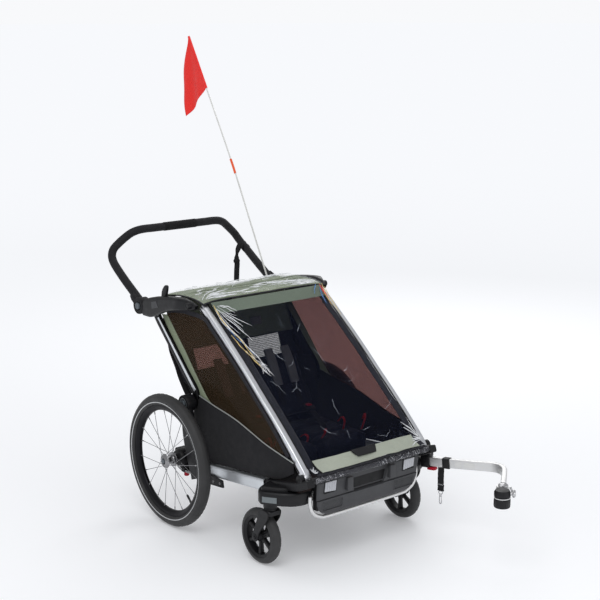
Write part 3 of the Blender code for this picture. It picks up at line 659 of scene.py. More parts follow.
def build_caster(side):
    name = label(side)
    body = f"caster_{name}"
    spin = f"caster_wheel_{name}"
    x = side * CASTER_X
    centre = Vector((x, CASTER_Y, CASTER_R))

    profile = tyre_profile(0.0785, 0.0194, 0.0745, 0.0008, 24)

    def tread(k, i):
        return 0.0009 if k % 4 == 0 and 8 <= i <= 14 else 0.0

    tyre = Shape().lathe(centre, (1, 0, 0), profile, 112, grooves=tread).make(
        f"caster_tyre_look_{name}", spin, "tyre", "rubber", 50
    )
    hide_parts(f"caster_tyre_{name}")

    half = [
        (0.0765, 0.0150), (0.0772, 0.0172), (0.0745, 0.0178), (0.0715, 0.0165), (0.0690, 0.0155),
        (0.0645, 0.0135), (0.0630, 0.0080)
    ]
    wheel = Shape().lathe(centre, (1, 0, 0), half + [(r, -h) for r, h in reversed(half)], 72)
    hub_half = [
        (0.0062, 0.0232), (0.0100, 0.0235), (0.0128, 0.0222), (0.0142, 0.0180), (0.0175, 0.0125),
        (0.0195, 0.0060)
    ]
    wheel.lathe(centre, (1, 0, 0), hub_half + [(r, -h) for r, h in reversed(hub_half)], 48)
    for k in range(6):
        turn = math.radians(60 * k + 30)
        out = Vector((0, math.cos(turn), math.sin(turn)))
        wheel.sweep((centre + out * 0.013, centre + out * 0.030, centre + out * 0.050, centre + out * 0.0665),
                    rounded(0.0190, 0.0150, 0.0050), (1, 0, 0), scale=lambda t: 1.1 - 0.5 * math.sin(
                        math.pi * min(t + 0.1, 1)
                    ) * 0.55)
    wheel = wheel.make(f"caster_rim_{name}", spin, "black", "black_plastic", 40)
    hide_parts(f"caster_wheel_{name}")

    fork = Shape()
    crown = []
    for y, lift, half_width in (
        (-0.566, -0.004, 0.022), (-0.560, 0.0, 0.027), (-0.545, 0.002, 0.0290), (-0.530, 0.001, 0.0290),
        (-0.518, -0.003, 0.0280), (-0.509, -0.009, 0.0260), (-0.504, -0.015, 0.0200)
    ):
        ring = []
        for u, v in rounded(2 * half_width, 0.0145, 0.0065, 5):
            drop = 0.006 * (u / half_width) ** 2
            ring.append((x + u, y, 0.2060 + lift + v - drop))
        crown.append(ring)
    fork.rings(crown)
    stem = [(0.0008, 0.206), (0.0225, 0.206), (0.0225, 0.2135), (0.0215, 0.2148), (0.0008, 0.2148)]
    fork.lathe((x, CASTER_STEM_Y, 0), (0, 0, 1), stem, 40)
    for cheek in (-1, 1):
        outline = smooth_outline(
            [
                (-0.563, 0.204), (-0.538, 0.210), (-0.512, 0.203), (-0.506, 0.178), (-0.493, 0.145),
                (-0.478, 0.112), (-0.476, 0.094), (-0.490, 0.083), (-0.504, 0.093), (-0.514, 0.120),
                (-0.537, 0.150), (-0.558, 0.178)
            ],
            4
        )
        plate(
            f"caster_cheek_{name}_{'a' if cheek < 0 else 'b'}", outline,
            *sorted((x + cheek * 0.0238, x + cheek * 0.0295)), body, "black", "black_plastic", 0.0024,
            segments=3
        )
        fork.lathe(
            (x, CASTER_Y, CASTER_R), (cheek, 0, 0),
            [(0.0008, 0.0240), (0.0135, 0.0240), (0.0140, 0.0300), (0.0125, 0.0315), (0.0008, 0.0315)], 36
        )
    fork = fork.make(f"caster_fork_look_{name}", body, "black", "black_plastic", 40)
    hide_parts(f"caster_fork_{name}")

    axle = Shape()
    for cheek in (-1, 1):
        axle.lathe(
            (x, CASTER_Y, CASTER_R), (cheek, 0, 0),
            [(0.0004, 0.0305), (0.0075, 0.0305), (0.0073, 0.0330), (0.0058, 0.0342), (0.0004, 0.0346)], 24
        )
    axle.make(f"caster_axle_{name}", body, "black", "black_plastic", 40)


# ---------------------------------------------------------------- lower frame


def rail_height(y):
    return 0.2237 + (-0.055 - y) * 0.1057


def build_lower_frame(side):
    name = label(side)
    rail = Shape().sweep([(side * 0.2925, y, rail_height(y)) for y in (-0.054, -0.2, -0.35, -0.476)],
                         rounded(0.0300, 0.0420, 0.0060, 5), (1, 0, 0)).make(
                             f"rail_look_{name}", "base", "rail", "silver", 30
                         )
    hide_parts(f"base_rail_{name}")

    # A thin bead runs along the rail, and screws hold the foot of the post to it.
    bead = Shape().sweep(
        [(side * 0.3078, y, rail_height(y) + 0.0140) for y in (-0.150, -0.3, -0.474)],
        rounded(0.0016, 0.0022, 0.0007), (1, 0, 0)
    )
    bead.make(f"rail_bead_{name}", "base", "silver", "silver")

    foot = [
        (-0.252, 0.196), (-0.150, 0.186), (-0.104, 0.187), (-0.100, 0.216), (-0.142, 0.222),
        (-0.180, 0.226), (-0.246, 0.222)
    ]
    plate(
        f"foot_bracket_{name}", foot, *sorted((side * 0.3085, side * 0.3170)), "base", "black",
        "black_plastic", 0.002
    )
    screws = Shape()
    for y, z in ((-0.236, 0.209), (-0.196, 0.205), (-0.120, 0.203)):
        screws.lathe(
            (side * 0.3168, y, z), (side, 0, 0),
            [(0.0004, 0.0), (0.0046, 0.0), (0.0042, 0.0016), (0.0022, 0.0024), (0.0004, 0.0012)], 24
        )
    screws.make(f"foot_screws_{name}", "base", "steel", "steel")

    # The post: a curved cast leg between the rail and the frame joint.
    leg = smooth_path(
        yz(
            side * 0.3230,
            (
                (-0.118, 0.199), (-0.103, 0.238), (-0.083, 0.285), (-0.066, 0.335), (-0.056, 0.385),
                (-0.050, 0.428), (-0.046, 0.462)
            )
        ),
        4
    )
    post = Shape().sweep(
        leg, rounded(0.0280, 0.0560, 0.0080, 4), (1, 0, 0), scale=lambda t: 1.22 - 0.30 * t
    )
    post.lathe(
        MID_PIVOT, (side, 0, 0),
        [
            (0.0140, 0.2998), (0.0300, 0.2998), (0.0318, 0.3040), (0.0318, 0.3340), (0.0300, 0.3385),
            (0.0250, 0.3398), (0.0200, 0.3385), (0.0170, 0.3345), (0.0140, 0.3335)
        ],
        56
    )
    post.lathe(
        MID_PIVOT, (side, 0, 0), [(0.0004, 0.3010), (0.0145, 0.3010), (0.0145, 0.3325), (0.0004, 0.3325)],
        40
    )
    post = post.make(f"post_look_{name}", "base", "black", "black_plastic", 35)
    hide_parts(f"rear_post_{name}")

    ring = Shape().lathe(
        MID_PIVOT, (side, 0, 0),
        [(0.0165, 0.3368), (0.0190, 0.3392), (0.0215, 0.3396), (0.0228, 0.3384), (0.0215, 0.3372)], 56
    )
    ring.make(f"joint_ring_{name}", "base", "grey_reflector", "button")
    button = Shape().lathe(MID_PIVOT, (side, 0, 0), dome(0.0128, 0.3366, 0.3433), 44)
    button = button.make(f"frame_button_look_{name}", f"frame_button_{name}", "button", "button", 30)
    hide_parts(f"frame_button_{name}")

    # The suspension housing, its clamp ears and its arm.
    housing = Shape().lathe(
        (0, 0, WHEEL_R), (side, 0, 0),
        [
            (0.0155, 0.2498), (0.0300, 0.2498), (0.0330, 0.2530), (0.0338, 0.2700), (0.0315, 0.2720),
            (0.0315, 0.2800), (0.0338, 0.2825), (0.0338, 0.3250), (0.0315, 0.3310), (0.0280, 0.3372),
            (0.0105, 0.3378), (0.0105, 0.2600)
        ],
        64
    )
    for turn in (40, 150, 262):
        out = Vector((0, math.cos(math.radians(turn)), math.sin(math.radians(turn))))
        at = Vector((0, 0, WHEEL_R)) + out * 0.034
        housing.lathe(
            at, (side, 0, 0),
            [
                (0.0006, 0.2840), (0.0075, 0.2840), (0.0085, 0.2870), (0.0085, 0.3225), (0.0072, 0.3250),
                (0.0006, 0.3256)
            ],
            28
        )
    housing.sweep(
        [(side * 0.2915, 0.0, 0.238), (side * 0.2915, -0.026, 0.231), (side * 0.2900, -0.054, 0.2225)],
        rounded(0.0330, 0.0360, 0.006), (1, 0, 0)
    )
    housing = housing.make(f"axle_housing_look_{name}", "base", "black", "black_plastic", 35)
    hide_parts(f"axle_housing_{name}")

    # Below it, the leaf spring with its red stop.
    spring = Shape()
    for k in range(3):
        low = 0.0030 * k
        path = smooth_path(
            yz(
                side * 0.300,
                (
                    (-0.058, 0.2020 - low), (-0.030, 0.1985 - low), (0.0, 0.1975 - low),
                    (0.022, 0.2000 - low), (0.036, 0.2070 - low)
                )
            ),
            4
        )
        spring.sweep(path, rounded(0.0300, 0.0021, 0.0008), (1, 0, 0))
    spring.make(f"leaf_spring_{name}", "base", "steel", "steel")
    stop = Shape().lathe(
        (side * 0.300, -0.004, 0), (0, 0, 1),
        [
            (0.0006, 0.1720), (0.0080, 0.1720), (0.0105, 0.1760), (0.0090, 0.1810), (0.0110, 0.1860),
            (0.0095, 0.1905), (0.0006, 0.1905)
        ],
        32
    )
    stop.make(f"spring_stop_{name}", "base", "red", "red")
    clamp = Shape().block(
        (side * 0.300 - 0.0170, -0.014, 0.1890), (side * 0.300 + 0.0170, 0.006, 0.2150), edge=0.002
    )
    clamp.make(f"spring_clamp_{name}", "base", "black", "black_plastic")


def build_corner(side):
    name = label(side)
    stack = Shape()

    def around(points):
        return [(side * x, y) for x, y in points]

    def slab(outline, low, high, round_off):
        """A slab whose top edge is rounded by stacked, slightly smaller outlines."""
        middle = Vector((sum(p[0] for p in outline), sum(p[1] for p in outline))) / len(outline)
        rings = []
        for t, shrink in ((0.0, 0.6), (0.12, 0.0), (0.82, 0.0), (0.93, 0.35), (1.0, 1.0)):
            ring = []
            for px, py in outline:
                pull = (Vector((px, py)) - middle)
                pull = pull * (1 - shrink * round_off / pull.length)
                ring.append((middle.x + pull.x, middle.y + pull.y, low + (high - low) * t))
            rings.append(ring)
        stack.rings(rings)

    corner_outline = smooth_outline(
        around(
            [
                (0.366, -0.522), (0.363, -0.556), (0.294, -0.634), (0.212, -0.620), (0.262, -0.480),
                (0.330, -0.488)
            ]
        )
    )
    slab(corner_outline, 0.2345, 0.2785, 0.006)
    slab(
        smooth_outline(
            around([(0.352, -0.520), (0.350, -0.546), (0.302, -0.600), (0.264, -0.560), (0.270, -0.492)])
        ),
        0.2700, 0.2925, 0.008
    )
    stack.lathe(
        (side * CASTER_X, CASTER_STEM_Y, 0), (0, 0, 1),
        [(0.0006, 0.2155), (0.0225, 0.2155), (0.0240, 0.2190), (0.0240, 0.2400), (0.0006, 0.2400)], 44
    )
    arch = yz(
        side * 0.284,
        (
            (-0.486, 0.272), (-0.545, 0.284), (-0.600, 0.296), (-0.648, 0.309), (-0.676, 0.322),
            (-0.698, 0.330)
        )
    )
    stack.sweep(
        smooth_path(arch, 4), rounded(0.0430, 0.0360, 0.0090), (1, 0, 0), scale=lambda t: 1.0 - 0.28 * t
    )
    stack.lathe(
        FRONT_PIVOT, (side, 0, 0),
        [
            (0.0006, 0.2847), (0.0150, 0.2847), (0.0158, 0.2865), (0.0158, 0.2985), (0.0130, 0.3005),
            (0.0006, 0.3005)
        ],
        40
    )
    stack.lathe(
        (0, -0.688, 0.333), (side, 0, 0),
        [
            (0.0006, 0.2600), (0.0105, 0.2600), (0.0112, 0.2620), (0.0112, 0.2730), (0.0090, 0.2755),
            (0.0006, 0.2760)
        ],
        36
    )
    corner = stack.make(f"corner_look_{name}", "base", "black", "black_plastic", 38)
    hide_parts(f"corner_bracket_{name}")

    # The grey reflector patch across the outer front face.
    middle = Vector((side * 0.300, -0.550, 0))
    edge = []
    for x, y in corner_outline[4:8]:
        edge.append(Vector((x, y, 0.2540)) + (Vector((x, y, 0)) - middle).normalized() * 0.0008)
    patch = Shape().sweep(
        edge, rounded(0.0035, 0.0200, 0.0012), (edge[-1] - edge[0]).cross(UP).normalized()
    )
    patch.make(f"corner_reflector_{name}", "base", "grey_reflector", "grey_plastic")
    screws = Shape()
    screws.lathe(
        FRONT_PIVOT, (side, 0, 0),
        [(0.0004, 0.2995), (0.0065, 0.2995), (0.0060, 0.3018), (0.0030, 0.3025), (0.0004, 0.3010)], 28
    )
    screws.make(f"pivot_screw_{name}", "base", "deep_black", "black_plastic")


def smooth_outline(points, steps=5):
    """A closed Catmull-Rom outline through 2-D points."""
    made = []
    count = len(points)
    for i in range(count):
        a, b, c, d = (Vector((*points[(i + k) % count], 0)) for k in (-1, 0, 1, 2))
        for k in range(steps):
            t = k / steps
            p = 0.5 * (
                2 * b + (c - a) * t + (2 * a - 5 * b + 4 * c - d) * t * t + (3 * b - a - 3 * c + d) * t**3
            )
            made.append((p.x, p.y))
    return made


# ---------------------------------------------------------------- folding frame

BEAM_PATH = ((-0.085, 0.818), (-0.154, 0.767), (-0.241, 0.700), (-0.327, 0.631), (-0.410, 0.560),
             (-0.492, 0.491), (-0.572, 0.420), (-0.641, 0.354), (-0.655, 0.335))


def offset(path, distance):
    """A (y, z) path moved to its left."""
    moved = []
    for i, point in enumerate(path):
        before = Vector(path[max(i - 1, 0)])
        after = Vector(path[min(i + 1, len(path) - 1)])
        along = (after - before).normalized()
        moved.append((point[0] - along.y * distance, point[1] + along.x * distance))
    return moved


def build_beam(side):
    name = label(side)
    x = side * 0.26875
    path = smooth_path(yz(x, BEAM_PATH[:-1] + ((-0.654, 0.336),)), 5)
    beam = Shape().sweep(path, rounded(0.0275, 0.0310, 0.0065, 5), (1, 0, 0))
    beam.lathe(
        FRONT_PIVOT, (side, 0, 0),
        [
            (0.0006, 0.2552), (0.0140, 0.2552), (0.0150, 0.2580), (0.0150, 0.2800), (0.0135, 0.2823),
            (0.0006, 0.2823)
        ],
        36
    )
    beam = beam.make(f"beam_look_{name}", "front_frame", "silver", "silver", 30)
    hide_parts(f"front_beam_{name}")

    # A black keder groove along the beam's upper face, and a lip along its inner lower edge.
    raised = offset(BEAM_PATH, -0.0154)
    groove = Shape().sweep(
        smooth_path(yz(side * 0.2590, raised[:-1]), 5), rounded(0.0060, 0.0026, 0.0010), (1, 0, 0)
    )
    groove.make(f"beam_groove_{name}", "front_frame", "deep_black", "black_plastic")
    edge = offset(BEAM_PATH, 0.0058)
    lip = Shape().sweep(
        smooth_path(yz(side * 0.2832, edge[:-1]), 5), rounded(0.0022, 0.0050, 0.0008), (1, 0, 0)
    )
    lip.make(f"beam_line_{name}", "front_frame", "deep_black", "black_plastic")


def build_upright(side):
    name = label(side)
    x = side * 0.2907
    path = yz(
        x,
        ((-0.052, 0.475), (-0.058, 0.505), (0.000, 0.563), (0.090, 0.653), (0.172, 0.735), (0.190, 0.765))
    )
    upright = Shape().sweep(smooth_path(path, 5), rounded(0.0150, 0.0330, 0.0045), (1, 0, 0))
    upright.lathe(
        MID_PIVOT, (side, 0, 0),
        [
            (0.0006, 0.2832), (0.0255, 0.2832), (0.0260, 0.2850), (0.0260, 0.2970), (0.0250, 0.2983),
            (0.0006, 0.2983)
        ],
        44
    )
    upright.lathe(
        TOP_PIVOT, (side, 0, 0),
        [
            (0.0006, 0.2832), (0.0235, 0.2832), (0.0240, 0.2850), (0.0240, 0.2970), (0.0230, 0.2983),
            (0.0006, 0.2983)
        ],
        44
    )
    upright = upright.make(f"upright_look_{name}", "rear_frame", "black_metal", "silver", 30)
    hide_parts(f"rear_upright_{name}")
    strip = Shape().sweep(
        smooth_path([p + Vector((side * 0.0075, -0.0060, 0.0062)) for p in path[1:5]], 5),
        rounded(0.0022, 0.0120, 0.0009), (1, 0, 0), scale=lambda t: 1.1 - 0.35 * t
    )
    strip.make(f"upright_strip_{name}", "rear_frame", "rail", "silver")


def build_casting(side):
    """The top casting: a long cap over the cabin's edge with a drum at the rear and an arched underside."""
    name = label(side)
    top = (
        (0.206, 0.808), (0.160, 0.823), (0.100, 0.8345), (0.040, 0.8430), (-0.020, 0.8480),
        (-0.058, 0.8430), (-0.078, 0.8350), (-0.088, 0.8280)
    )
    low = (
        (0.214, 0.745), (0.168, 0.7465), (0.128, 0.7620), (0.070, 0.7850), (0.010, 0.7990),
        (-0.045, 0.8060), (-0.074, 0.8100), (-0.086, 0.8160)
    )
    top = smooth_path(yz(0, top), 5)
    low = smooth_path(yz(0, low), 5)
    shell = []
    for a, b in zip(top, low):
        middle = (a + b) / 2
        half = (a - b) / 2
        ring = []
        for u, v in rounded(2.0, 2.0, 0.42, 4):
            # The outer face is slightly crowned from top to bottom.
            taper = 0.036 * max(0.0, min(1.0, (-0.010 - middle.y) / 0.080)) if u > 0 else 0.0
            across = 0.3185 + 0.0195 * u - 0.0012 * v * v * (1 if u > 0 else 0) - taper
            ring.append(Vector((side * across, 0, 0)) + middle + half * v)
        shell.append(ring)
    casting = Shape().rings(shell)
    casting.lathe(
        HANDLE_PIVOT, (side, 0, 0),
        [
            (0.0100, 0.2992), (0.0285, 0.2992), (0.0305, 0.3010), (0.0305, 0.3165), (0.0298, 0.3183),
            (0.0100, 0.3183)
        ],
        60
    )
    casting = casting.make(f"casting_look_{name}", "top_frame", "black", "black_plastic", 32)
    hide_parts(f"top_casting_{name}")

    # A blank inset patch, the round knob at the front and the small tab on top.
    outline = [(0.118, 0.8165), (0.150, 0.8085), (0.146, 0.7830), (0.104, 0.7950)]
    plate(
        f"casting_patch_{name}", outline, *sorted((side * 0.3368, side * 0.3388)), "top_frame", "grey",
        "black_plastic", 0.0007
    )
    knob = Shape().lathe(
        (0, -0.060, 0.8260), (side, 0, 0),
        [
            (0.0006, 0.2980), (0.0125, 0.2980), (0.0125, 0.3230), (0.0116, 0.3255), (0.0085, 0.3262),
            (0.0078, 0.3245), (0.0006, 0.3245)
        ],
        44
    )
    knob.make(f"casting_knob_{name}", "top_frame", "black", "black_plastic")
    if side > 0:
        return
    tab = Shape()
    rings = []
    for k, (y, z, wide) in enumerate(
        (
            (0.100, 0.832, 0.030), (0.098, 0.850, 0.030), (0.093, 0.862, 0.028), (0.088, 0.8715, 0.022),
            (0.086, 0.877, 0.012)
        )
    ):
        rings.append(
            [
                (side * 0.3110 + v, y + u, z) for u,
                v in rounded(wide, 0.014 - 0.0014 * k, 0.005 - 0.0007 * k, 4)
            ]
        )
    tab.rings(rings)
    tab.make(f"casting_tab_{name}", "top_frame", "black", "black_plastic", 50)


# ---------------------------------------------------------------- handlebar


def build_handlebar():
    half = [
        (0.3145, 0.2640, 0.7930), (0.3145, 0.3000, 0.8150), (0.3145, 0.360, 0.852), (0.3135, 0.420, 0.892),
        (0.3100, 0.452, 0.915), (0.3030, 0.470, 0.936), (0.2900, 0.4765, 0.957), (0.2680, 0.4740, 0.977),
        (0.2430, 0.468, 0.997), (0.2200, 0.461, 1.0125), (0.1950, 0.455, 1.0215), (0.1650, 0.451, 1.0250),
        (0.120, 0.450, 1.025), (0.0, 0.450, 1.025)
    ]
    path = half + [(-x, y, z) for x, y, z in reversed(half[:-1])]
    bar = Shape().tube(smooth_path(path, 6), 0.0158, 28)
    along = Vector((0, 0.120, 0.074)).normalized()
    for side in sides():
        base = HANDLE_PIVOT + Vector((side * 0.3290, 0, 0))
        bar.lathe(
            HANDLE_PIVOT, (side, 0, 0),
            [
                (0.0140, 0.3190), (0.0300, 0.3190), (0.0312, 0.3210), (0.0312, 0.3345), (0.0298, 0.3388),
                (0.0250, 0.3398), (0.0200, 0.3385), (0.0165, 0.3340), (0.0140, 0.3335)
            ],
            60
        )
        bar.lathe(
            HANDLE_PIVOT, (side, 0, 0),
            [(0.0004, 0.3195), (0.0145, 0.3195), (0.0145, 0.3330), (0.0004, 0.3330)], 40
        )
        bar.sweep(
            [
                base + along * 0.012, base + along * 0.030, base + along * 0.048,
                base + along * 0.064 - Vector((side * 0.004, 0, 0))
            ],
            rounded(0.0200, 0.0300, 0.0075, 4), (1, 0, 0), scale=lambda t: 1.0 - 0.10 * t
        )
    bar = bar.make("handlebar_look", "handlebar", "bar", "black_tube", 40)
    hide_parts("handlebar")
    for side in sides():
        name = label(side)
        ring = Shape().lathe(
            HANDLE_PIVOT, (side, 0, 0),
            [(0.0165, 0.3368), (0.0190, 0.3392), (0.0212, 0.3396), (0.0225, 0.3384), (0.0212, 0.3372)], 56
        )
        ring.make(f"handlebar_ring_{name}", "handlebar", "deep_black", "black_plastic")
        button = Shape().lathe(HANDLE_PIVOT, (side, 0, 0), dome(0.0128, 0.3366, 0.3433), 44)
        button = button.make(
            f"handlebar_button_look_{name}", f"handlebar_button_{name}", "button", "button", 30
        )
        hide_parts(f"handlebar_button_{name}")

    rings = []
    steps = 60
    for k in range(steps + 1):
        x = -0.0780 + 0.1560 * k / steps
        end = min(k, steps - k)
        radius = 0.0172 if end > 1 else (0.0158 if end == 0 else 0.0169)
        if 4 < end and k % 3 == 0:
            radius -= 0.0005
        ring = []
        for j in range(36):
            turn = 2 * math.pi * j / 36
            ring.append((x, 0.450 + radius * math.cos(turn), 1.025 + radius * math.sin(turn)))
        rings.append(ring)
    grip = Shape().rings(rings).make("grip_look", "handlebar", "grip", "grip", 60)
    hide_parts("handlebar_grip")


# ---------------------------------------------------------------- middle of the frame


def build_middle():
    keep("axle_beam", "silver", 0.001)
    keep("rear_cross_tube", "black_metal", 0.001)
    keep("floor_pan", "floor_plastic", 0.002)

    # The front tube is wrapped in the dark lower roll of the rain cover.
    rings = []
    for k in range(81):
        x = -0.262 + 0.524 * k / 80
        ring = []
        for j in range(24):
            turn = 2 * math.pi * j / 24
            radius = 0.0104 + 0.0013 * noise.noise(
                Vector((x * 22, math.cos(turn) * 1.3, math.sin(turn) * 1.3))
            )
            ring.append((x, -0.688 + radius * math.cos(turn), 0.333 + radius * math.sin(turn)))
        rings.append(ring)
    roll = Shape().rings(rings).make("front_tube_look", "base", "binding", "black_tube", 70)
    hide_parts("front_cross_tube")

    # Brake pedal: a collar on the axle beam with a ribbed foot pad.
    pedal = Shape().lathe(
        (-0.175, 0, WHEEL_R), (1, 0, 0),
        [
            (0.0156, -0.025), (0.0205, -0.025), (0.0215, -0.0235), (0.0215, 0.0235), (0.0205, 0.025),
            (0.0156, 0.025)
        ],
        48
    )
    pedal.sweep(
        [
            (-0.175, 0.014, WHEEL_R - 0.002), (-0.175, 0.040, WHEEL_R - 0.004),
            (-0.175, 0.066, WHEEL_R - 0.006)
        ],
        rounded(0.028, 0.012, 0.004), (1, 0, 0)
    )
    pedal.block((-0.206, 0.056, WHEEL_R - 0.013), (-0.144, 0.096, WHEEL_R - 0.001), edge=0.004)
    for k in range(5):
        y = 0.062 + 0.007 * k
        pedal.block((-0.198, y, WHEEL_R - 0.0015), (-0.152, y + 0.003, WHEEL_R + 0.001), edge=0.0007)
    pedal = pedal.make("brake_pedal_look", "brake_pedal", "red", "red", 40)
    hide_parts("brake_pedal")

    hoop = [
        (0.246, -0.648, 0.262), (0.2465, -0.649, 0.238), (0.241, -0.650, 0.214), (0.227, -0.651, 0.196),
        (0.204, -0.651, 0.184), (0.172, -0.651, 0.1785), (0.0, -0.651, 0.1775)
    ]
    path = smooth_path(hoop + [(-x, y, z) for x, y, z in reversed(hoop[:-1])], 8)
    hoop = Shape().tube(path, 0.0070, 20).make("front_hoop_look", "base", "silver_arm", "silver", 60)
    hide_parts("front_hoop")


PANEL_HALF = (
    (0.317, 0.237), (0.290, 0.236), (0.235, 0.232), (0.212, 0.221), (0.197, 0.204), (0.188, 0.180)
)


def panel_half_width(z):
    for (za, xa), (zb, xb) in zip(PANEL_HALF, PANEL_HALF[1:]):
        if zb <= z <= za:
            return xb + (xa - xb) * (z - zb) / (za - zb)
    return PANEL_HALF[-1][1]


def inside(x, z, box, soft):
    """1 inside a slanted box (left, right, low, high, slant), falling to 0 over a soft edge."""
    left, right, low, high, slant = box
    shift = slant * (high - z)
    depth = min(x - (left + shift), (right - shift) - x, z - low, high - z)
    return max(0.0, min(1.0, depth / soft))


def panel_relief(x, z):
    """How far the moulded front stands out at a place, in metres."""
    half = panel_half_width(z)
    edge = min(half - abs(x), z - 0.188, 0.317 - z)
    out = -0.006 * (1 - min(1.0, edge / 0.008)) ** 2
    out -= 0.013 * inside(x, z, (-0.098, 0.098, 0.258, 0.330, 0.35), 0.0022)
    out -= 0.008 * inside(x, z, (-0.070, 0.070, 0.246, 0.275, 0.0), 0.0022)
    if z < 0.2475:
        out += 0.0030
    elif z < 0.2500:
        out -= 0.0030
    frame_out = inside(abs(x), z, (0.120, 0.212, 0.205, 0.241, 0.0), 0.0014)
    frame_in = inside(abs(x), z, (0.1235, 0.2085, 0.2085, 0.2375, 0.0), 0.0010)
    out += 0.0030 * frame_out - 0.0050 * frame_in
    if frame_in >= 1.0:
        cell = math.sin(x * 2 * math.pi / 0.0085) * math.sin(z * 2 * math.pi / 0.0085)
        out += 0.0026 * max(0.0, cell)
    return out


def panel_point(x, z, lift=0.0):
    return Vector((x, -0.664 - 0.126 * (z - 0.19) - lift, z))


def build_front_panel():
    def point(u, v):
        z = 0.188 + 0.129 * v
        x = (2 * u - 1) * panel_half_width(z)
        return panel_point(x, z, panel_relief(x, z))

    panel = surface("front_panel_look", point, 260, 72, "base", "grey", "grey_plastic", 0)
    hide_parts("front_panel")
    back = Shape().block((-0.228, -0.664, 0.2100), (0.228, -0.640, 0.312), edge=0.004)
    back.make("front_panel_back", "base", "deep_black", "grey_plastic")
    for side in sides():
        name = label(side)
        lens = Shape()
        for k in range(5):
            x = side * (0.1620 + 0.0100 * k)
            low = 0.2750 + 0.001 * k
            lens.sweep(
                [panel_point(x, low, 0.0012), panel_point(x, 0.312, 0.0012)],
                rounded(0.0104, 0.0056, 0.0024), (1, 0, 0)
            )
        lens.make(f"front_reflector_{name}", "base", "reflector", "white", 50)
        bezel = smooth_path(
            [
                panel_point(side * x, z, 0.0015) for x,
                z in ((0.1550, 0.315), (0.1555, 0.272), (0.2080, 0.272), (0.2075, 0.315))
            ],
            1
        )
        Shape().tube(bezel, 0.0016, 8).make(f"reflector_bezel_{name}", "base", "black", "black_plastic")
        flank = Shape().block(
            (min(side * 0.086, side * 0.112), -0.6885, 0.262),
            (max(side * 0.086, side * 0.112), -0.672, 0.309), edge=0.003
        )
        flank.make(f"panel_flank_{name}", "base", "grey", "grey_plastic")


# ---------------------------------------------------------------- cloth sides, roof and cover

PIPING = (
    (-0.612, 0.3805), (-0.540, 0.3935), (-0.457, 0.4100), (-0.380, 0.4320), (-0.302, 0.4535),
    (-0.240, 0.4650), (-0.176, 0.4745), (-0.120, 0.4850), (-0.044, 0.4990)
)
PANEL_LOW = (
    (-0.6135, 0.345), (-0.580, 0.325), (-0.540, 0.306), (-0.484, 0.2930), (-0.380, 0.2820),
    (-0.280, 0.2710), (-0.189, 0.2600), (-0.118, 0.2560), (-0.048, 0.3100), (-0.038, 0.4300)
)
WINDOW_LOW = PIPING[1:-2] + (
    (-0.146, 0.4810), (-0.122, 0.4960), (-0.060, 0.5620), (0.000, 0.6300), (0.060, 0.6930), (0.120, 0.7560)
)
WINDOW_TOP = (
    (-0.585, 0.3960), (-0.492, 0.4860), (-0.410, 0.5560), (-0.327, 0.6270), (-0.241, 0.6940),
    (-0.150, 0.7620), (-0.110, 0.7880), (-0.020, 0.7930), (0.060, 0.7890), (0.122, 0.7760)
)


class Curve:
    """A curve in the (y, z) plane that is read at a share of its length."""

    def __init__(self, points, steps=8):
        self.points = smooth_path(yz(0, points), steps)
        self.lengths = [0.0]
        for a, b in zip(self.points, self.points[1:]):
            self.lengths.append(self.lengths[-1] + (b - a).length)
        self.length = self.lengths[-1]

    def at(self, share):
        goal = max(0.0, min(1.0, share)) * self.length
        for k in range(1, len(self.lengths)):
            if self.lengths[k] >= goal:
                run = self.lengths[k] - self.lengths[k - 1]
                t = (goal - self.lengths[k - 1]) / run if run else 0.0
                return self.points[k - 1].lerp(self.points[k], t)
        return self.points[-1].copy()

    def normal(self, share):
        along = (self.at(share + 0.01) - self.at(share - 0.01)).normalized()
        return Vector((0, along.z, -along.y))


def side_sheet(name, side, low, high, material, slot, x, bulge, nu=90, nv=40, flat=None, wrinkle=0.0006):
    low = Curve(low)
    high = Curve(high)

    def point(u, v):
        p = low.at(u).lerp(high.at(u), v)
        out = bulge * math.sin(math.pi * u) ** 0.6 * math.sin(math.pi * v) ** 0.7
        out += wrinkle * noise.noise(Vector((p.y * 13 + 9 * side, p.z * 13, 2)))
        return Vector((side * (x + out), p.y, p.z))

    sheet = surface(name, point, nu, nv, "base", material, slot, 0.0012)
    if flat:
        flat[2] if len(flat) > 2 else None
    return sheet


def folding(obj):
    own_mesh(obj)
    return obj


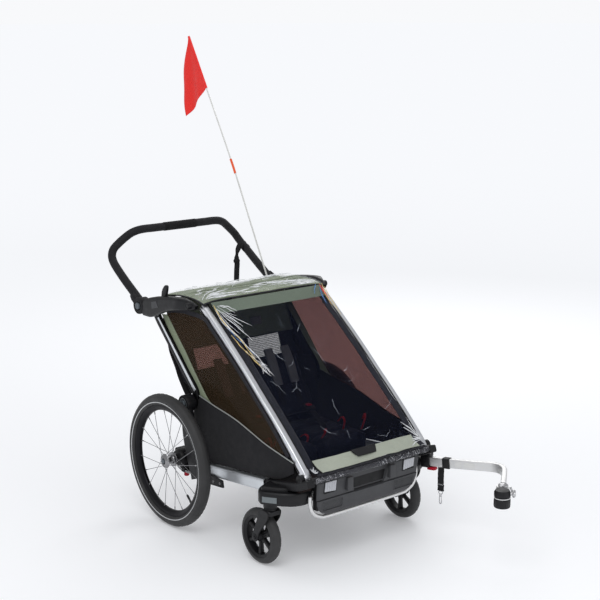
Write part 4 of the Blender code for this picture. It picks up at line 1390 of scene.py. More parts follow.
def build_cloth_side(side):
    name = label(side)
    window = side_sheet(
        f"window_{name}", side, WINDOW_LOW, WINDOW_TOP, "tint", "tint", 0.2848, 0.004,
        flat=(0.75, 0.42, 0.155)
    )
    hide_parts(f"side_window_{name}")
    panel = side_sheet(
        f"panel_{name}", side, PANEL_LOW, PIPING, "charcoal", "charcoal", 0.2860, 0.012,
        flat=(0.56, 0.24, 0.090)
    )
    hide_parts(f"side_panel_{name}")
    strip = side_sheet(
        f"sage_strip_{name}", side,
        (
            (-0.148, 0.4800), (-0.122, 0.4960), (-0.060, 0.5610), (0.000, 0.6290), (0.060, 0.6920),
            (0.122, 0.7580)
        ),
        ((-0.060, 0.4960), (-0.020, 0.5560), (0.040, 0.6190), (0.100, 0.6790), (0.160, 0.7540)), "sage",
        "sage", 0.2850, 0.001, 60, 10, flat=(0.36, 0.06, 0.016)
    )
    pieces = [window, panel, strip]

    piping = Shape().tube([Vector((side * 0.2885, p.y, p.z)) for p in Curve(PIPING).points], 0.0021, 10)
    pieces.append(piping.make(f"piping_{name}", "base", "piping", "white", 60))
    border = Shape()
    top = Curve(WINDOW_TOP)
    rows = []
    for k in range(61):
        p = top.at(k / 60)
        n = top.normal(k / 60)
        rows.append(
            [
                Vector((side * 0.2872, p.y - n.y * d, p.z - n.z * d)) for d in (-0.0120, 0.0050)
            ] + [Vector((side * 0.2855, p.y - n.y * d, p.z - n.z * d)) for d in (0.0050, -0.0120)]
        )
    border.rings(rows)
    pieces.append(border.make(f"window_border_{name}", "base", "binding", "charcoal"))
    # Inside, a wide dark edge follows the beam.
    rows = []
    for k in range(61):
        p = top.at(k / 60 * 0.74)
        n = top.normal(k / 60 * 0.74)
        rows.append(
            [
                Vector((side * 0.2815, p.y + n.y * d, p.z + n.z * d)) for d in (-0.002, 0.030)
            ] + [Vector((side * 0.2805, p.y + n.y * d, p.z + n.z * d)) for d in (0.030, -0.002)]
        )
    inner = Shape().rings(rows).make(f"window_inner_edge_{name}", "base", "lining", "charcoal")
    pieces.append(inner)
    pieces.append(
        stitches(
            f"strip_stitches_{name}",
            [
                Vector((side * 0.2868, p.y, p.z)) for p in Curve(
                    ((-0.118, 0.4960), (-0.056, 0.5610), (0.004, 0.6290), (0.064, 0.6920), (0.116, 0.7460))
                ).points
            ],
            "base"
        )
    )
    for piece in pieces:
        folding(piece)


ROOF = Curve(
    (
        (-0.101, 0.8410), (-0.060, 0.8490), (-0.020, 0.8520), (0.020, 0.8520), (0.060, 0.8490),
        (0.100, 0.8430), (0.140, 0.8350), (0.172, 0.8220), (0.188, 0.8080)
    )
)
COVER = Curve(offset(((-0.100, 0.8275),) + BEAM_PATH[1:-1] + ((-0.692, 0.3330),), -0.0125))


def cloth_wave(a, b, seed):
    return noise.noise(Vector((a, b, seed))) + 0.5 * noise.noise(Vector((2.3 * a, 2.3 * b, seed + 5)))


def roof_point(u, v, lift=0.0, half=0.2840, wrinkle=0.0020):
    p = ROOF.at(v)
    x = (2 * u - 1) * half
    edge = abs(2 * u - 1)
    sag = 0.004 * (1 - edge**2) * math.sin(math.pi * v)
    drop = 0.010 * edge**10
    z = p.z - sag - drop + lift + wrinkle * cloth_wave(x * 9, p.y * 16, 3) * (1 - edge**4)
    return Vector((x, p.y, z))


def cover_point(u, v, lift=0.0, half=0.2555, wrinkle=0.0012, seed=1):
    p = COVER.at(v)
    n = COVER.normal(v)
    x = (2 * u - 1) * half
    edge = abs(2 * u - 1)
    out = lift - 0.004 * (1 - edge**2) * math.sin(math.pi * v) + wrinkle * cloth_wave(x * 10, v * 8, seed)
    return Vector((x, p.y + n.y * out, p.z + n.z * out))


def cover_band(name, v0, v1, half0, half1, material, slot, lift, wrinkle, nu=80, nv=14, thickness=0.0014):
    def point(u, v):
        return cover_point(u, v0 + (v1 - v0) * v, lift, half0 + (half1 - half0) * v, wrinkle, 7)

    return surface(name, point, nu, nv, "front_cover", material, slot, thickness)


def build_roof_and_cover():
    roof = surface("canopy_look", roof_point, 90, 40, "top_frame", "sage", "sage", 0.0018)
    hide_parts("canopy")
    edges = Shape()
    for v in (0.0, 1.0):
        edges.sweep(
            [roof_point(k / 60, v, 0.0) for k in range(61)], rounded(0.010, 0.0034, 0.0012), (0, 1, 0)
        )
    for u in (0.004, 0.996):
        edges.sweep(
            [roof_point(u, k / 40, 0.0012) for k in range(41)], rounded(0.009, 0.0030, 0.0012), (1, 0, 0)
        )
    edges.make("canopy_binding", "top_frame", "binding", "charcoal", 60)
    # A folded awning lies in soft ridges across the roof's middle, under the clear film.
    ridges = Shape()
    for k, v in enumerate((0.30, 0.42)):
        ridges.sweep(
            [roof_point(i / 60, v + 0.012 * math.sin(i / 60 * 7 + k), 0.003, 0.27) for i in range(61)],
            rounded(0.012, 0.006, 0.0028), (0, 1, 0)
        )
    ridges.make("canopy_ridges", "top_frame", "sage", "sage", 60)

    mesh = surface(
        "cover_mesh", lambda u, v: cover_point(u, 0.06 + 0.86 * v), 70, 110, "front_cover", "mesh",
        "mesh_cover", 0
    )
    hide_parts("front_cover")
    # The cover's top band is sage cloth darkened as painted shade.
    cover_band("cover_top_band", 0.0, 0.062, 0.2560, 0.2540, "sage_in_painted_shade", "sage", 0.0022, 0.0008)
    cover_band("cover_hem", 0.908, 0.988, 0.232, 0.226, "pale_sage", "sage", 0.0065, 0.0050, 110, 24)
    for side in sides():
        def point(u, v, side=side):
            return cover_point(0.5 + side * (0.5 - 0.052 * u), 0.02 + 0.96 * v, 0.0016)
        surface(f"cover_edge_{label(side)}", point, 6, 90, "front_cover", "lining", "charcoal", 0.0012)
    cover_band("cover_lower_edge", 0.985, 1.0, 0.250, 0.252, "binding", "charcoal", 0.0030, 0.0030, 90, 6)
    for k, v in enumerate((0.060, 0.908, 0.980)):
        half = (0.252, 0.228, 0.226)[k]
        path = [
            cover_point(
                i / 80, v, (0.0036, 0.0058, 0.0058)[k], half, (0.0008, 0.006, 0.006)[k], 7
            ) for i in range(81)
        ]
        stitches(f"cover_stitches_{k}", path, "front_cover", material="piping")

    badge = []
    for low, wide in ((0.0, 0.0), (0.003, 0.0015)):
        badge.append([cover_point(0.5 + x / 0.51, v, 0.0070 + low, 0.2555, 0.0) for x, v in
                      (
                          (-0.058 + wide, 0.905), (0.058 - wide, 0.905), (0.052 - wide, 0.925),
                          (0.041, 0.949), (-0.041, 0.949), (-0.052 + wide, 0.925)
                      )])
    badge = Shape().rings(badge).make("cover_badge", "front_cover", "black", "black_plastic", 30)
    bevel(badge, 0.0012)


def film_material(name, color, scale, base, dense, stretch, low, high, rough=0.1):
    """Clear crumpled film: nearly invisible, with pale patches along its creases that are painted highlights
    where it catches the light.
    """
    m = Nodes(name, color, rough, alpha=base, Specular_IOR_Level=0.6)
    creases = m.noise(scale, 3.0, stretch, 1.2)
    ridge = m.math("ABSOLUTE", m.math("SUBTRACT", creases, 0.5))
    # The pale, denser film along the creases inside the patches is painted highlight.
    patches = m.ramp(m.noise(5.0, 2.0, (1, 1, 1), 0.5), low, high)
    m.set(
        "Alpha",
        m.ramp(m.math("MULTIPLY", m.ramp(ridge, 0.0, 0.02, 1.0, 0.0), patches), 0.0, 1.0, base, dense)
    )
    m.bump(creases, 0.004, 0.7)
    return m.material


def painted_glint_material(name, color, alpha):
    """One sharp fold of the film, coloured as a painted highlight that is brighter in places."""
    m = Nodes(name, color, 0.25, alpha=alpha)
    m.set("Alpha", m.ramp(m.noise(55.0, 3.0), 0.35, 0.65, alpha * 0.35, alpha))
    m.set("Roughness", m.ramp(m.noise(30.0), 0.3, 0.7, 0.15, 0.4))
    return m.material


def creases(name, point, lines, body, material):
    """Narrow pointed folds on a surface, drawn as thin strips that carry painted highlights. Each line is
    (u0, v0, u1, v1, bow, width).
    """
    shape = Shape()
    for u0, v0, u1, v1, bow, width in lines:
        path = []
        steps = 22
        for k in range(steps + 1):
            t = k / steps
            swing = bow * math.sin(math.pi * t) + 0.15 * bow * math.sin(5 * math.pi * t)
            du = -(v1 - v0)
            dv = u1 - u0
            path.append(point(u0 + (u1 - u0) * t + du * swing, v0 + (v1 - v0) * t + dv * swing))
        side = (path[-1] - path[0]).cross(Vector((0, -0.7, 0.72)))
        shape.sweep(
            path, rounded(width, 0.0010, 0.0004, 1), side,
            scale=lambda t: 0.12 + 0.88 * math.sin(math.pi * min(1.0, t * 0.9 + 0.08)) ** 0.8
        )
    return shape.make(name, body, material, "white", 60)


def fan(rng_lines, start, spread, reach, count, bow, width):
    """Lines that leave one corner and spread out like the folds of pulled film."""
    lines = []
    for k in range(count):
        t = k / max(1, count - 1)
        turn = spread[0] + (spread[1] - spread[0]) * t + rng_lines.uniform(-0.05, 0.05)
        far = reach * rng_lines.uniform(0.45, 1.0)
        near = reach * rng_lines.uniform(0.0, 0.25)
        u = math.cos(turn)
        v = math.sin(turn)
        lines.append(
            (
                start[0] + u * near, start[1] + v * near, start[0] + u * far, start[1] + v * far,
                rng_lines.uniform(-bow, bow), width * rng_lines.uniform(0.5, 1.3)
            )
        )
    return lines


def build_film():
    """The clear rain film over the roof and the cover, with painted highlights in its patches and along its
    glossy creases.
    """
    # Each film is nearly clear; its pale patches are painted highlights.
    M["film"] = film_material(
        "clear_film", (0.78, 0.82, 0.86), 7.0, 0.10, 0.55, (0.8, 3.0, 3.0), 0.42, 0.60
    )
    M["cover_film"] = film_material(
        "clear_cover_film", (0.30, 0.36, 0.50), 5.0, 0.002, 0.10, (2.2, 0.8, 0.8), 0.56, 0.72
    )
    M["edge_film"] = film_material(
        "creased_film", (0.80, 0.81, 0.86), 16.0, 0.04, 0.70, (2.5, 1.4, 1.4), 0.44, 0.56
    )
    # The fold materials are painted highlights and painted reflections: white, faint, warm, red and blue
    # glints.
    M["white_painted_glint"] = painted_glint_material("white_glint_on_film", (0.85, 0.87, 0.90), 0.85)
    M["faint_painted_glint"] = painted_glint_material("faint_glint_on_film", (0.55, 0.60, 0.68), 0.45)
    M["warm_painted_glint"] = painted_glint_material("warm_glint_on_film", (0.80, 0.62, 0.25), 0.85)
    M["red_painted_glint"] = painted_glint_material("red_glint_on_film", (0.75, 0.06, 0.06), 0.8)
    M["blue_painted_glint"] = painted_glint_material("blue_glint_on_film", (0.12, 0.28, 0.62), 0.7)

    def over_roof(u, v):
        return roof_point(u, v, 0.0055 + 0.0030 * abs(cloth_wave(u * 14, v * 7, 11)), 0.2830, 0.003)

    surface("roof_film", over_roof, 130, 60, "top_frame", "film", "white", 0)

    def over_cover(u, v):
        return cover_point(u, v, 0.0105 + 0.0010 * cloth_wave(u * 9, v * 12, 12), 0.2600, 0.001)

    surface("cover_film_sheet", over_cover, 80, 120, "front_cover", "cover_film", "white", 0)

    def fold_on_cover(u, v):
        return cover_point(u, v, 0.0125, 0.2640, 0.002, 5)

    def fold_on_roof(u, v):
        return roof_point(min(1.0, max(0.0, u)), min(1.0, max(0.0, v)), 0.0100, 0.2830, 0.003)

    # Pale painted highlights along the folds of the cover film.
    lines = fan(rng, (0.005, 0.010), (0.35, 1.35), 0.34, 11, 0.10, 0.0042)
    lines += [
        (0.02, 0.04, 0.10, 0.30, 0.06, 0.005), (0.06, 0.24, 0.13, 0.44, -0.08, 0.004),
        (0.05, 0.30, 0.15, 0.40, 0.1, 0.003)
    ]
    lines += fan(rng, (0.10, 0.36), (0.7, 1.9), 0.12, 7, 0.20, 0.0030)
    lines += fan(rng, (0.995, 0.955), (2.9, 4.3), 0.16, 7, 0.08, 0.0050)
    lines += fan(rng, (0.005, 0.985), (4.9, 6.1), 0.07, 6, 0.10, 0.0045)
    creases("film_glint_strips", fold_on_cover, lines, "front_cover", "white_painted_glint")
    # Warm, red and blue painted reflections along a few folds of the cover film.
    lines = [
        (0.012, 0.02, 0.050, 0.20, 0.03, 0.0060), (0.030, 0.12, 0.085, 0.38, -0.04, 0.0050),
        (0.020, 0.20, 0.060, 0.33, 0.05, 0.0040), (0.055, 0.30, 0.105, 0.42, 0.05, 0.0045)
    ]
    lines += [(0.985, 0.0, 0.975, 0.14, 0.04, 0.0055), (0.995, 0.02, 0.990, 0.20, -0.02, 0.0045)]
    creases("film_warm_glint_strips", fold_on_cover, lines, "front_cover", "warm_painted_glint")
    creases(
        "film_red_glint_strips", fold_on_cover,
        [(0.960, 0.0, 0.985, 0.09, 0.05, 0.0065), (0.975, 0.01, 0.968, 0.12, -0.05, 0.0040)], "front_cover",
        "red_painted_glint"
    )
    creases(
        "film_blue_glint_strips", fold_on_cover,
        [
            (0.950, 0.02, 0.940, 0.12, 0.06, 0.0050), (0.930, 0.0, 0.880, 0.05, 0.06, 0.0045),
            (0.02, 0.10, 0.11, 0.33, 0.08, 0.003)
        ],
        "front_cover", "blue_painted_glint"
    )
    # Faint painted highlights along short folds scattered over the cover film.
    lines = []
    for _ in range(16):
        u = rng.uniform(0.08, 0.92)
        v = rng.uniform(0.15, 0.90)
        turn = rng.uniform(-0.6, 0.6) + (1.4 if rng.random() < 0.3 else 0.0)
        reach = rng.uniform(0.03, 0.12)
        lines.append(
            (
                u, v, u + reach * math.cos(turn), v + reach * math.sin(turn), rng.uniform(-0.2, 0.2),
                rng.uniform(0.0010, 0.0022)
            )
        )
    creases("film_faint_glint_strips", fold_on_cover, lines, "front_cover", "faint_painted_glint")

    # Pale painted highlights along the folds of the roof film.
    lines = []
    for _ in range(34):
        u = rng.uniform(0.02, 0.85)
        v = rng.uniform(0.03, 0.80)
        turn = rng.uniform(-0.35, 0.35) if rng.random() < 0.7 else rng.uniform(0.9, 1.9)
        reach = rng.uniform(0.05, 0.22)
        lines.append(
            (
                u, v, u + reach * math.cos(turn), v + reach * math.sin(turn), rng.uniform(-0.25, 0.25),
                rng.uniform(0.0025, 0.0065)
            )
        )
    lines += fan(rng, (0.99, 0.03), (2.6, 3.6), 0.45, 9, 0.08, 0.006)
    lines += fan(rng, (0.01, 0.04), (-0.4, 0.9), 0.40, 8, 0.08, 0.005)
    creases("roof_glint_strips", fold_on_roof, lines, "top_frame", "white_painted_glint")

    # The clear film wrapped round the front tube, whose pale patches are painted highlights.
    def round_tube(u, v):
        turn = -0.9 + 2.4 * v
        x = (2 * u - 1) * 0.262
        radius = 0.0126 + 0.0012 * cloth_wave(u * 30, v * 3, 31)
        return Vector((x, -0.688 - radius * math.cos(turn), 0.333 + radius * math.sin(turn)))

    surface("film_on_tube", round_tube, 140, 14, "base", "edge_film", "white", 0)


# ---------------------------------------------------------------- padded interior


def padded_block(name, low, high, matrix, body, material, most, replaces=None, channels=()):
    """A seat pad: a closed block blown up as cloth, with sewn channels pressed in afterwards."""
    size = Vector(high) - Vector(low)
    inner = 0.004
    shape = Shape().block(
        Vector(low) + Vector((inner,) * 3), Vector(high) - Vector((inner,) * 3), edge=min(size) * 0.22
    )
    obj = add(name, shape.verts, shape.faces, None, material, "seat_cloth", 60)
    remesh = obj.modifiers.new("even", "REMESH")
    remesh.mode = "VOXEL"
    remesh.voxel_size = 0.0060
    take_shape(obj)
    blow_up(obj, most)
    for v in obj.data.vertices:
        p = v.co - SHIFT
        for axis, place_at, width, depth, out_axis in channels:
            press = math.exp(-(((p[axis] - place_at) / width) ** 2)) * depth
            v.co[out_axis] -= press * (1 if p[out_axis] > (low[out_axis] + high[out_axis]) / 2 else 0)
    obj.data.transform(Matrix.Translation(SHIFT) @ matrix @ Matrix.Translation(-SHIFT))
    subdivide(obj)
    place(obj, body, material, "seat_cloth", 80)
    if replaces:
        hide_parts(replaces)
    return obj


def take_shape(obj):
    """Turns what the modifiers make into the object's own mesh."""
    bpy.context.view_layer.update()
    graph = bpy.context.evaluated_depsgraph_get()
    made = bpy.data.meshes.new_from_object(obj.evaluated_get(graph))
    obj.modifiers.clear()
    obj.data = made


def blow_up(obj, most):
    scene = bpy.context.scene
    modifier = obj.modifiers.new("air", "CLOTH")
    settings = modifier.settings
    settings.use_pressure = True
    settings.uniform_pressure_force = 4.0
    settings.effector_weights.gravity = 0.0
    settings.quality = 5
    settings.mass = 0.3
    settings.tension_stiffness = 15.0
    settings.compression_stiffness = 15.0
    settings.bending_stiffness = 0.5
    modifier.collision_settings.use_collision = False
    modifier.point_cache.frame_start = 1
    modifier.point_cache.frame_end = 20
    for number in range(1, 21):
        scene.frame_set(number)
    graph = bpy.context.evaluated_depsgraph_get()
    blown = bpy.data.meshes.new_from_object(obj.evaluated_get(graph))
    moved = [v.co.copy() for v in blown.vertices]
    obj.modifiers.clear()
    bpy.data.meshes.remove(blown)
    scene.frame_set(1)
    for v, goal in zip(obj.data.vertices, moved):
        step = goal - v.co
        if step.length > most:
            step *= most / step.length
        v.co += step


def strap(
    name, path, body, width=0.025, thickness=0.0018, side=(1, 0, 0), material="webbing", slot="webbing"
):
    return Shape().sweep(
        smooth_path(path, 6), rounded(width, thickness, thickness * 0.42, 2), side
    ).make(name, body, material, slot, 50)


def buckle(name, matrix, body, size=(0.034, 0.030, 0.010)):
    x, y, z = (s / 2 for s in size)
    shape = Shape()
    shape.block((-x, -y, -z), (x, y * 0.2, z), matrix, 0.003)
    shape.block((-x * 0.78, y * 0.15, -z * 0.7), (x * 0.78, y * 1.0, z * 0.7), matrix, 0.002)
    shape.block((-x * 1.1, -y * 0.55, -z * 0.6), (x * 1.1, -y * 0.1, z * 0.6), matrix, 0.002)
    return shape.make(name, body, "deep_black", "black_plastic")


SEAT_LOW = Vector((0, -0.105, 0.330))
SEAT_TOP = Vector((0, 0.032, 0.590))


def build_interior():
    along = (SEAT_TOP - SEAT_LOW).normalized()
    lean = math.atan2(along.z, along.y)
    for side in sides():
        name = label(side)
        low, high = sorted((side * 0.004, side * 0.232))
        channels = [(1, -0.34, 0.006, 0.010, 2), (1, -0.24, 0.006, 0.008, 2)]
        seat = padded_block(
            f"seat_pad_{name}", (low, -0.430, 0.266), (high, -0.140, 0.338), Matrix(), "base", "seat",
            0.009, "seat_cushion" if side < 0 else None, channels
        )
        turn = Matrix.Translation(SEAT_LOW) @ Matrix.Rotation(lean - math.pi / 2, 4, "X")
        back = padded_block(
            f"back_pad_{name}", (low, -0.022, 0.004), (high, 0.020, 0.262), turn, "seat_back", "seat",
            0.008, "seat_back" if side < 0 else None,
            ((2, 0.10, 0.006, 0.008, 1), (2, 0.19, 0.006, 0.008, 1))
        )
        if side > 0:
            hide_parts("seat_cushion")
            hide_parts("seat_back")
        middle = side * 0.118
        for hand in (-1, 1):
            x = middle + hand * 0.040
            path = [(x, 0.012, 0.588), (x, -0.018, 0.540), (x * 0.99, -0.060, 0.460), (x, -0.095, 0.392)]
            pad = Shape().sweep(
                smooth_path([Vector(p) + Vector((0, -0.022, 0.006)) for p in path[:3]], 6),
                rounded(0.042, 0.012, 0.0055, 4), (1, 0, 0),
                scale=lambda t: 0.72 + 0.28 * math.sin(math.pi * min(1.0, 0.12 + t * 0.8)) ** 0.5
            )
            pad = pad.make(
                f"shoulder_pad_{name}_{'a' if hand < 0 else 'b'}", "seat_back", "pad", "seat_cloth", 60
            )
            strap(
                f"shoulder_strap_{name}_{'a' if hand < 0 else 'b'}",
                [Vector(p) + Vector((0, -0.016, 0.004)) for p in path], "seat_back"
            )
        strap(
            f"crotch_strap_{name}",
            [
                (middle, -0.300, 0.340), (middle, -0.280, 0.362), (middle, -0.240, 0.385),
                (middle, -0.215, 0.398)
            ],
            "base", 0.030
        )
        buckle(
            f"harness_buckle_{name}",
            Matrix.Translation((middle, -0.206, 0.402)) @ Matrix.Rotation(math.radians(25), 4, "X"), "base",
            (0.046, 0.044, 0.014)
        )
        red = Shape().block((middle - 0.009, -0.216, 0.409), (middle + 0.009, -0.198, 0.415), edge=0.002)
        red.make(f"harness_release_{name}", "base", "red", "red")
        for k, (x, y, z, dx, dz) in enumerate(
            (
                (0.215, -0.395, 0.352, 0.012, 0.050), (0.165, -0.350, 0.352, -0.010, 0.040),
                (0.035, -0.380, 0.350, 0.014, 0.024)
            )
        ):
            path = [
                (side * x, y, z - 0.01), (side * (x + dx * 0.4), y - 0.012, z + dz * 0.6),
                (side * (x + dx), y - 0.004, z + dz), (side * (x + dx * 1.4), y + 0.012, z + dz * 0.5)
            ]
            strap(f"red_loop_{name}_{k}", path, "base", 0.010, 0.0016, material="red_webbing", slot="red")

    # The upper back: sage cloth darkened as painted shade at the top, dark cloth around a net window behind
    # each head, and two blank tags above.
    upper = Curve(
        ((0.046, 0.520), (0.068, 0.580), (0.090, 0.640), (0.112, 0.700), (0.130, 0.760), (0.144, 0.812))
    )

    def back_point(x, z, lift=0.0):
        v = (z - 0.520) / 0.292
        p = upper.at(v)
        return Vector((x, p.y - lift + 0.004 * cloth_wave(x * 7, z * 9, 40), p.z))

    pieces = []
    net_in, net_out, net_low, net_high = 0.050, 0.206, 0.545, 0.625
    patches = [
        ("upper_back", -0.282, 0.282, net_high, 0.812, "sage_in_painted_shade", "sage"),
        ("back_low", -0.278, 0.278, 0.520, net_low, "lining", "charcoal"),
        ("back_centre", -net_in, net_in, net_low, net_high, "lining", "charcoal"),
        ("back_right", -0.280, -net_out, net_low, net_high, "lining", "charcoal"),
        ("back_left", net_out, 0.280, net_low, net_high, "lining", "charcoal")
    ]
    for title, x0, x1, z0, z1, material, slot in patches:
        pieces.append(
            surface(
                title, lambda u, v,
                b=(x0, x1, z0, z1): back_point(b[0] + (b[1] - b[0]) * u, b[2] + (b[3] - b[2]) * v), 40, 16,
                "base", material, slot, 0.0016
            )
        )
    for side in sides():
        name = label(side)

        def net(u, v, side=side):
            return back_point(
                side * (net_in + (net_out - net_in) * u), net_low + (net_high - net_low) * v, 0.002
            )

        pieces.append(surface(f"back_net_{name}", net, 24, 16, "base", "back_mesh", "mesh_cover", 0))
        edge = Shape()
        corners = [(0.0, 0.0), (1.0, 0.0), (1.0, 1.0), (0.0, 1.0), (0.0, 0.0)]
        for (a, b), (c, d) in zip(corners, corners[1:]):
            edge.tube([net(a + (c - a) * t / 10, b + (d - b) * t / 10) for t in range(11)], 0.0022, 8)
        pieces.append(edge.make(f"back_net_edge_{name}", "base", "binding", "charcoal"))
        tag = surface(
            f"back_tag_{name}", lambda u, v,
            side=side: back_point(side * (0.085 + 0.050 * u), 0.668 + 0.030 * v, 0.004), 6, 6, "base",
            "pad", "seat_cloth", 0.0010
        )
        pieces.append(tag)
    pieces.append(
        strap(
            "back_middle_strap", [back_point(0.0, z, 0.008) for z in (0.525, 0.60, 0.70, 0.80)], "base",
            0.026
        )
    )
    # A dark apron closes the slot behind the seat backs, and turns with them.
    surface(
        "seat_apron", lambda u,
        v: Vector(((2 * u - 1) * 0.262, 0.040 - 0.104 * (1 - v), 0.355 + 0.185 * v)), 30, 16, "seat_back",
        "lining", "charcoal", 0.0014
    )
    for side in sides():
        # A gusset joins the back to the sage strip, so that the cabin is closed at its rear corners.
        outer = Curve(
            ((-0.060, 0.4960), (-0.020, 0.5560), (0.040, 0.6190), (0.100, 0.6790), (0.150, 0.7400))
        )

        def gusset(u, v, side=side, outer=outer):
            a = outer.at(v)
            b = back_point(side * 0.280, 0.525 + 0.235 * v)
            return Vector((side * (0.2838 - 0.0038 * u), a.y + (b.y - a.y) * u, a.z + (b.z - a.z) * u))

        pieces.append(
            surface(f"back_gusset_{label(side)}", gusset, 8, 40, "base", "lining", "charcoal", 0.0010)
        )
    for piece in pieces:
        folding(piece)


def build_bag():
    """The cloth back of the cabin, which sags into a luggage bag behind the seats."""
    path = Curve(
        (
            (0.060, 0.545), (0.052, 0.500), (0.036, 0.440), (0.018, 0.370), (0.000, 0.318), (-0.022, 0.291),
            (-0.050, 0.289)
        )
    )

    def point(u, v):
        p = path.at(v)
        n = path.normal(v)
        x = (2 * u - 1) * 0.226
        across = math.sin(math.pi * u) ** 0.5
        out = 0.042 * across * math.sin(math.pi * min(1.0, max(0.0, (v - 0.02) / 0.85))) ** 0.8
        out += 0.004 * cloth_wave(x * 8, v * 9, 51) * across
        out -= 0.007 * math.exp(-(((v - 0.40) / 0.012) ** 2))
        return Vector((x, p.y - n.y * out, p.z - n.z * out))

    bag = surface("bag_look", point, 80, 110, "base", "charcoal", "charcoal", 0.0016)
    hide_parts("cargo_bag")
    pieces = [bag]
    front = Curve(
        (
            (-0.034, 0.540), (-0.056, 0.500), (-0.062, 0.440), (-0.066, 0.380), (-0.070, 0.330),
            (-0.066, 0.300)
        )
    )
    for side in sides():
        def cheek(u, v, side=side):
            a = point(0.5 + side * 0.5, v)
            b = front.at(v)
            p = a.lerp(Vector((side * 0.2835, b.y, b.z)), u)
            p.x += side * 0.003 * cloth_wave(p.y * 16, p.z * 12, 60) * math.sin(math.pi * u)
            return p
        pieces.append(
            surface(f"bag_cheek_{label(side)}", cheek, 24, 70, "base", "charcoal", "charcoal", 0.0014)
        )
    cord_path = [point(k / 60, 0.40) + Vector((0, 0.004, 0.001)) for k in range(61)]
    pieces.append(Shape().tube(cord_path, 0.0035, 10).make("bag_hem", "base", "binding", "charcoal", 60))
    for k, x in enumerate((-0.12, 0.12)):
        u = 0.5 + x / 0.516
        pieces.append(
            strap(
                f"bag_strap_{k}",
                [point(u, v) + Vector((0, 0.004, 0)) for v in (0.05, 0.20, 0.35, 0.50, 0.65)], "base", 0.020
            )
        )
        buckle_at = point(u, 0.33) + Vector((0, 0.006, 0))
        pieces.append(
            buckle(
                f"bag_buckle_{k}",
                Matrix.Translation(buckle_at) @ Matrix.Rotation(math.radians(86), 4, "X"), "base",
                (0.028, 0.030, 0.008)
            )
        )
    for piece in pieces:
        folding(piece)


# ---------------------------------------------------------------- tow arm


